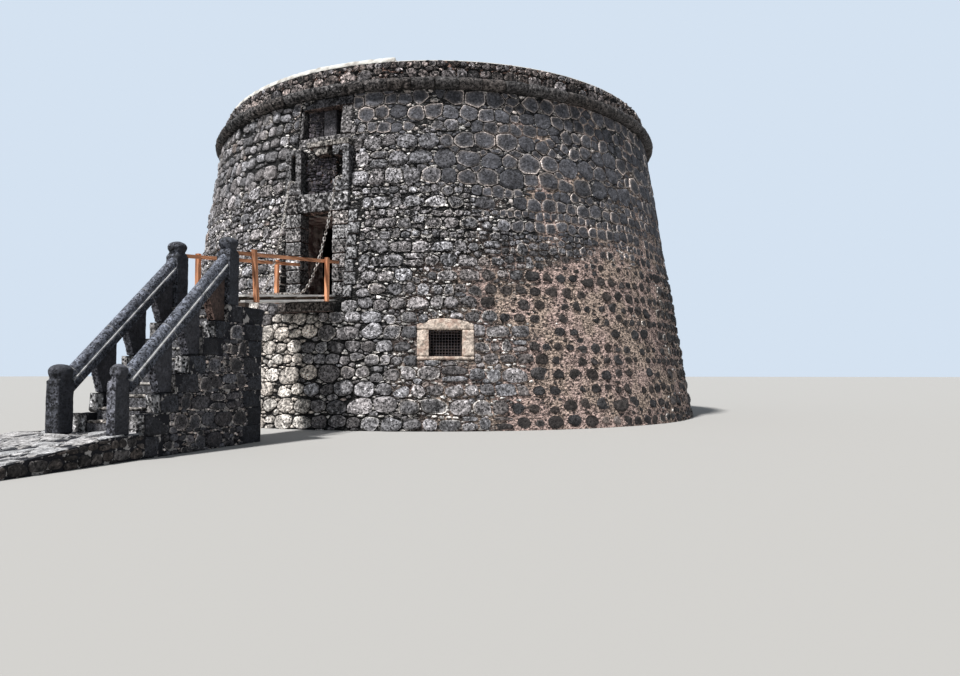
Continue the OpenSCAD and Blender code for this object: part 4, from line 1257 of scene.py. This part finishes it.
class TOWER_OT_coping(bpy.types.Operator):
    """Spreads the lime coping on the parapet"""
    bl_idname = "tower.coping"
    bl_label = "Coping"

    def execute(self, context):
        weathered("lime_coping_thick", ["coping_thick"], 0.045, 0.012, lime_coping(), UNTINTED,
                  shrink=0.0)
        dress(lime_coping(), "coping_thin")
        return {"FINISHED"}


class TOWER_OT_portal(bpy.types.Operator):
    """Dresses the door, its lintel and the slotted pilasters above it"""
    bl_idname = "tower.portal"
    bl_label = "Portal"

    def execute(self, context):
        stone = dressed_basalt()

        def window_stone(node, number):
            return (0.075, 0.078, 0.090) if number == 0 else (0.16, 0.16, 0.17)

        weathered("jamb_blocks", ["door_jambs"], 0.032, 0.012, stone, (0.25, 0.25, 0.26), 0.3,
                  shrink=0.012)
        weathered("pitted_lintel", ["door_lintel"], 0.024, 0.026, lintel_basalt(),
                  (0.20, 0.20, 0.21), 0.08, shrink=0.008, grain=1.9)
        weathered("slotted_pilasters", ["left_pilaster", "right_pilaster"], 0.026, 0.010, stone,
                  (0.165, 0.17, 0.185), 0.15, grain=1.4)
        weathered("broken_arch", ["arch_stones"], 0.026, 0.012, stone, (0.26, 0.25, 0.24),
                  0.15, 0.05, shrink=0.006)
        weathered("door_corbel", ["threshold_corbel"], 0.04, 0.008, stone,
                  (0.10, 0.095, 0.095), 0.1)
        weathered("upper_window_stones", ["upper_window_frame"], 0.045, 0.014, stone, window_stone,
                  0.1, shrink=0.008)
        weathered("upper_window_fill", ["upper_window_infill"], 0.03, 0.004, dark_basalt(),
                  (0.036, 0.036, 0.042), 0.1)
        rng = random.Random(masonry().seed + 31)
        recess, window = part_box("portal_infill"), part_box("upper_window_infill")
        for name, (low, high), depth, right in (
                ("portal_rubble", recess, recess[0][1], recess[1][0]),
                ("upper_window_rubble", window, window[0][1] + 0.03, window[0][0] + 0.5)):
            work = Stonework(across_y(depth, -1))
            rubble = Rubble(masonry().seed + len(name), low[0] + 0.01, right - 0.01, low[2], high[2],
                            stretch=2.1)
            level = low[2]
            while level < high[2] - 0.04:
                head = min(level + rng.uniform(0.09, 0.18), high[2])
                rubble.row(level, head, 0.04, 0.015, 1.9)
                level = head
            rubble.throw(0.02, 0.035, 900)
            face_rubble(work, rubble, rng, (0.052, 0.050, 0.062), 0.045, 0.018, 0.5, 0.15, 0.35, 0.7)
            work.build(name, rubble_basalt(), "rubble")
        dress(open_joints(), "portal_infill")
        work = Stonework(on_wall)
        height = (DOOR_HEAD - JAMB_FOOT) / JAMB_COURSES
        for k in range(JAMB_COURSES):
            low = JAMB_FOOT + k * height
            left = UNROLLED_RADIUS * math.asin((DOOR_X + PORTAL_HALF + 0.005) / wall_radius(low))
            right = left + JAMB_WIDTHS[k % 2]
            work.add(squared(left, right, low, low + height, rng), 0.05, tinted(rng, (0.21, 0.21, 0.22), 0.2),
                     rng, crown=0.93, wobble=0.2)
        work.build("outer_jamb_blocks", stone, "ashlar")
        return {"FINISHED"}


def add_bar(points, faces, start, end, radius, sides=6):
    """Adds a straight round bar."""
    start, end = Vector(start), Vector(end)
    along = (end - start).normalized()
    across = along.orthogonal().normalized()
    up = along.cross(across)
    first = len(points)
    for place in (start, end):
        for k in range(sides):
            t = 2 * math.pi * k / sides
            points.append(place + (across * math.cos(t) + up * math.sin(t)) * radius)
    for k in range(sides):
        j = (k + 1) % sides
        faces.append((first + k, first + j, first + sides + j, first + sides + k))
    faces.append(tuple(range(first + sides - 1, first - 1, -1)))
    faces.append(tuple(range(first + sides, first + 2 * sides)))


class TOWER_OT_windows(bpy.types.Operator):
    """Dresses the low windows and sets their iron bars"""
    bl_idname = "tower.windows"
    bl_label = "Barred windows"

    def execute(self, context):
        half, head = WINDOW_WIDTH / 2, WINDOW_SILL + WINDOW_HEIGHT
        depth = wall_radius(WINDOW_SILL + 0.33) - BARS_BEHIND
        for k, node in enumerate(("window_front", "window_rear", "window_left")):
            turn = Matrix.Rotation(window_turn(k), 4, "Z")
            weathered("sandstone_" + node, [node], 0.028, 0.009, sandstone(), UNTINTED,
                      shift=turn @ Vector((0, -WINDOW_RELIEF, 0)))
            points, faces = [], []
            for i in range(BARS_ACROSS):
                x = -half + WINDOW_WIDTH * (i + 0.5) / BARS_ACROSS
                add_bar(points, faces, (x, -depth, WINDOW_SILL), (x, -depth, head), BAR_RADIUS)
            for j in range(BARS_UP):
                z = WINDOW_SILL + WINDOW_HEIGHT * (j + 0.5) / BARS_UP
                add_bar(points, faces, (-half, -depth + 0.012, z), (half, -depth + 0.012, z), BAR_RADIUS)
            piece = linked("bars_" + node, [turn @ p for p in points], faces)
            finish_piece(piece, black_iron())
        return {"FINISHED"}


def side_rows():
    """Rows of the stair's side walls as (low, high, front, back)."""
    rows = [(0.0, SIDE_COURSE, STAIR_FRONT, STAIR_BACK), (SIDE_COURSE, SIDE_FIRST, STAIR_FRONT, STAIR_BACK)]
    for k in range(SIDE_STEPS):
        rows.append((SIDE_FIRST + k * SIDE_RISE, SIDE_FIRST + (k + 1) * SIDE_RISE,
                     STAIR_FRONT - (k + 1) * SIDE_RUN, STAIR_BACK))
    return rows


class TOWER_OT_stair(bpy.types.Operator):
    """Lays the stair's treads and the squared and rubble stones of its sides"""
    bl_idname = "tower.stair"
    bl_label = "Stair"

    def execute(self, context):
        settings = masonry()
        # The side and back stones get a dark tint and the step fronts, which face the sun, a pale one:
        # painted shade and painted sunlight on the same stone
        dark = tuple(0.62 * c for c in settings.dark_basalt)
        pale = (0.27, 0.27, 0.28)
        weathered("worn_treads", ["stair_treads"], 0.03, 0.006, dressed_basalt(),
                  (0.26, 0.255, 0.25), 0.12)
        rng = random.Random(settings.seed + 41)
        for side, name in ((1, "stair_face_right"), (-1, "stair_face_left")):
            work = Stonework(across_x(side * STAIR_HALF, side))
            for number, (low, high, front, back) in enumerate(side_rows()):
                head, tail = FRONT_QUOINS[number % 2], BACK_QUOINS[number % 2]
                if front - back < head + tail + 0.3:
                    course(work, rng, back, front, low, high, 0.5, dark, 0.014, 0.45)
                    continue
                course(work, rng, front - head, front, low, high, 1.0, dark, 0.014, 0.45)
                course(work, rng, back, back + tail, low, high, 1.0, dark, 0.014, 0.45)
                fill = Rubble(settings.seed + number, back + tail, front - head, low, high, stretch=1.35)
                fill.row(low, high, 0.12, 0.02)
                fill.throw(0.05, 0.08, 600)
                fill.throw(0.022, 0.04, 900, share_at=lambda u, v: 0.6)
                face_rubble(work, fill, rng, (0.060, 0.061, 0.070), 0.03, 0.026, 0.6, 0.15, 0.6,
                            chip=(0.33, 0.30, 0.29))
            work.build(name, dark_basalt(), "ashlar")
        for side, name in ((1, "step_fronts_right"), (-1, "step_fronts_left")):
            points, faces, tints = [], [], []
            low_x = side * STAIR_HALF - (STAIR_WALL if side > 0 else 0)
            for k in range(SIDE_STEPS + 1):
                front = STAIR_FRONT - k * SIDE_RUN
                high = SIDE_FIRST + k * SIDE_RISE
                levels = (SIDE_FIRST + (k - 1) * SIDE_RISE, high) if k else (0.0, SIDE_COURSE, high)
                work = Stonework(across_y(-front, -1))
                for foot, head in zip(levels, levels[1:]):
                    course(work, rng, low_x, low_x + STAIR_WALL, foot, head, 1.0, pale, 0.02)
                first = len(points)
                points.extend(work.placed())
                faces.extend([tuple(first + i for i in face) for face in work.faces])
                tints.extend(work.tints)
            tinted_mesh(name, points, faces, tints, dressed_basalt())
        back = Stonework(across_y(-STAIR_BACK, 1))
        for k in range(LANDING_COURSES):
            course(back, rng, -STAIR_HALF, STAIR_HALF, LANDING * k / LANDING_COURSES,
                   LANDING * (k + 1) / LANDING_COURSES, 0.42, dark, 0.014)
        back.build("stair_back_stones", dark_basalt(), "ashlar")
        dress(stair_mortar(), "stair_wall_right", "stair_wall_left")
        dress(plain_basalt(), "stair_core")
        return {"FINISHED"}


class TOWER_OT_stone_rails(bpy.types.Operator):
    """Wears down the newels, the balusters and the roll rails"""
    bl_idname = "tower.stone_rails"
    bl_label = "Newels and stone rails"

    def execute(self, context):
        dark = tuple(masonry().dark_basalt)

        # How much painted sunlight each newel's front gets, as the tint's fourth value
        def newel(node, number):
            return (*dark, {LOW_RIGHT_NEWEL: 0.8, LOW_LEFT_NEWEL: 0.3}.get((node, number), 0.46))

        def slab(node, number):
            return (0.050, 0.036, 0.033) if (node, number) == BROWN_BALUSTER else (0.052, 0.055, 0.067)

        weathered("newels_worn", ["newels_right", "newels_left"], 0.022, 0.006, sun_faced_basalt(),
                  newel, 0.12)
        weathered("balusters_worn", ["balusters_right", "balusters_left"], 0.024, 0.005, sun_faced_basalt(),
                  slab, 0.15)
        dress(rail_basalt(), "stone_rail_right", "stone_rail_left")
        return {"FINISHED"}


def eased(node, width):
    """Breaks the sharp edges of a CAD node's solids."""
    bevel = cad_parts[node].modifiers.new("Eased edges", "BEVEL")
    bevel.width = width
    bevel.segments = 2
    bevel.limit_method = "ANGLE"


class TOWER_OT_gangway(bpy.types.Operator):
    """Finishes the timber of the gangway"""
    bl_idname = "tower.gangway"
    bl_label = "Gangway"

    def execute(self, context):
        for finish, *nodes in ((deck_boards, "gangway_planks", "gangway_stringers"),
                               (bearer_timber, "gangway_bearers"),
                               (rail_timber, "gangway_rails"),
                               (post_timber, "gangway_posts")):
            dress(finish(), *nodes)
            for node in nodes:
                eased(node, 0.005)
        return {"FINISHED"}


class TOWER_OT_chains(bpy.types.Operator):
    """Gives the chains their rust and their painted highlights"""
    bl_idname = "tower.chains"
    bl_label = "Chains"

    def execute(self, context):
        dress(chain_iron(), "chain_left", "chain_right")
        return {"FINISHED"}


class TOWER_OT_ramp(bpy.types.Operator):
    """Paves the ramp and faces its sides with rubble"""
    bl_idname = "tower.ramp"
    bl_label = "Ramp"

    def execute(self, context):
        settings = masonry()
        rng = random.Random(settings.seed + 51)
        low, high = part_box("ramp")
        back, front = -high[1], -low[1]
        shelf = front - RAMP_RUN

        def surface(u):
            return np.where(u < shelf, RAMP_TOP, RAMP_TOP - (u - shelf) * RAMP_FALL / RAMP_RUN)

        for name, x, side in (("ramp_side_right", high[0], 1), ("ramp_side_left", low[0], -1)):
            work = Stonework(across_x(x, side))
            rubble = Rubble(settings.seed + side, back + 0.02, front - 0.25, RAMP_ROWS[0], RAMP_ROWS[-1])
            for foot, head in zip(RAMP_ROWS, RAMP_ROWS[1:]):
                rubble.row(foot, head, waver=0.02)
            rubble.throw(0.05, 0.08, 1500)
            for u, _, _, outline in rubble.outlines(lambda u, v: 0.02):
                fall = RAMP_FALL / RAMP_RUN if u > shelf else 0
                outline = clipped(outline, fall, 1, float(surface(np.array(u))) - 0.015 + fall * u)
                outline = softened(outline, 0.02) if len(outline) > 2 else []
                if len(outline) > 2:
                    work.add(outline, 0.02 * rng.uniform(0.5, 1.3),
                             tinted(rng, (0.055, 0.052, 0.053), 0.4, 0.2), rng, coarse=0.6)
            work.build(name, rubble_basalt(), "rubble")
        top = Stonework(lambda u, v, lift: (v, -u, surface(u) + lift))
        flags = Rubble(settings.seed + 5, back + 0.01, front - 0.05, low[0] + 0.02, high[0] - 0.02)
        flags.throw(0.2, 0.27, 2500, 0.84)
        flags.throw(0.09, 0.13, 3000, 0.84)
        flags.throw(0.04, 0.06, 5000)
        for _, _, _, outline in flags.outlines(lambda u, v: 0.010, lambda u, v: 1.4):
            outline = softened(outline, 0.03, 0.15)
            if len(outline) > 2:
                top.add(outline, 0.008 * rng.uniform(0.3, 1.2), tinted(rng, (0.41, 0.415, 0.43), 0.15, 0.05),
                        rng, sink=0.02, crown=0.92, coarse=0.3)
        top.build("ramp_flags", rubble_basalt(), "paving")
        dress(stair_mortar(), "ramp")
        return {"FINISHED"}


class TOWER_OT_rooms(bpy.types.Operator):
    """Finishes the floors, the vault and the roof terrace"""
    bl_idname = "tower.rooms"
    bl_label = "Floors and vault"

    def execute(self, context):
        dress(stone_paving(), "ground_floor", "main_floor")
        dress(lime_plaster(), "roof_vault")
        return {"FINISHED"}


class TOWER_OT_stage(bpy.types.Operator):
    """Sets the floor, the light and the camera"""
    bl_idname = "tower.stage"
    bl_label = "Stage"

    def execute(self, context):
        scene = context.scene
        half, level = 400, -0.002
        corners = [(-half, -half, level), (half, -half, level), (half, half, level), (-half, half, level)]
        floor = linked("floor", corners, [(0, 1, 2, 3)])
        f = Finish("pale_floor", roughness=0.95)
        f.colour((0.42, 0.415, 0.405))
        floor.data.materials.append(f.material)

        world = bpy.data.worlds.new("studio")
        scene.world = world
        world.use_nodes = True
        sky = Nodes(world.node_tree)
        sky.tree.nodes.clear()
        path = sky.node("ShaderNodeLightPath").outputs
        shown = sky.node("ShaderNodeMixShader")
        sky.feed(sky.most(path["Is Camera Ray"], path["Is Glossy Ray"]), shown.inputs[0])
        for socket, colour, strength in ((1, (0.86, 0.93, 1.0), SKY_STRENGTH), (2, (0.66, 0.76, 0.88), 1.0)):
            glow = sky.node("ShaderNodeBackground")
            sky.feed(colour, glow.inputs["Color"])
            sky.feed(strength, glow.inputs["Strength"])
            sky.feed(glow.outputs[0], shown.inputs[socket])
        sky.feed(shown.outputs[0], sky.node("ShaderNodeOutputWorld").inputs["Surface"])

        lamp = bpy.data.lights.new("key", "SUN")
        lamp.energy = SUN_STRENGTH
        lamp.angle = math.radians(4)
        lamp.color = (1.0, 0.98, 0.95)
        key = bpy.data.objects.new("key", lamp)
        scene.collection.objects.link(key)
        turn, height = math.radians(SUN_TURN), math.radians(SUN_HEIGHT)
        towards = Vector((math.sin(turn) * math.cos(height), -math.cos(turn) * math.cos(height),
                          math.sin(height)))
        key.rotation_euler = towards.to_track_quat("Z", "Y").to_euler()

        lens = bpy.data.cameras.new("camera")
        lens.lens = LENS_LENGTH
        lens.sensor_width = 36
        lens.shift_x = LENS_SHIFT
        lens.clip_end = 1000
        camera = bpy.data.objects.new("camera", lens)
        camera.location = CAMERA_PLACE
        camera.rotation_euler = (math.radians(CAMERA_TILT), 0, math.radians(CAMERA_TURN))
        scene.collection.objects.link(camera)
        scene.camera = camera
        scene.view_settings.view_transform = "Standard"
        return {"FINISHED"}


PIECES = (
    TOWER_OT_rubble_wall, TOWER_OT_parapet, TOWER_OT_cornice, TOWER_OT_coping, TOWER_OT_portal,
    TOWER_OT_windows, TOWER_OT_stair, TOWER_OT_stone_rails, TOWER_OT_gangway, TOWER_OT_chains, TOWER_OT_ramp,
    TOWER_OT_rooms, TOWER_OT_stage,
)


class TOWER_PT_pieces(bpy.types.Panel):
    """Lists the tower's sizes, colours and pieces"""
    bl_idname = "TOWER_PT_pieces"
    bl_label = "Tower"
    bl_space_type = "VIEW_3D"
    bl_region_type = "UI"
    bl_category = "Tower"

    def draw(self, context):
        for settings in (context.scene.tower_masonry, context.scene.tower_gangway):
            for name in settings.__annotations__:
                self.layout.prop(settings, name)
        for piece in PIECES:
            self.layout.operator(piece.bl_idname)


CLASSES = (MasonrySettings, GangwaySettings, *PIECES, TOWER_PT_pieces)


def register():
    for cls in CLASSES:
        bpy.utils.register_class(cls)
    bpy.types.Scene.tower_masonry = PointerProperty(type=MasonrySettings)
    bpy.types.Scene.tower_gangway = PointerProperty(type=GangwaySettings)


def unregister():
    del bpy.types.Scene.tower_gangway
    del bpy.types.Scene.tower_masonry
    for cls in reversed(CLASSES):
        bpy.utils.unregister_class(cls)


def main():
    register()
    for piece in PIECES:
        group, name = piece.bl_idname.split(".")
        getattr(getattr(bpy.ops, group), name)()


if __name__ == "__main__":
    main()
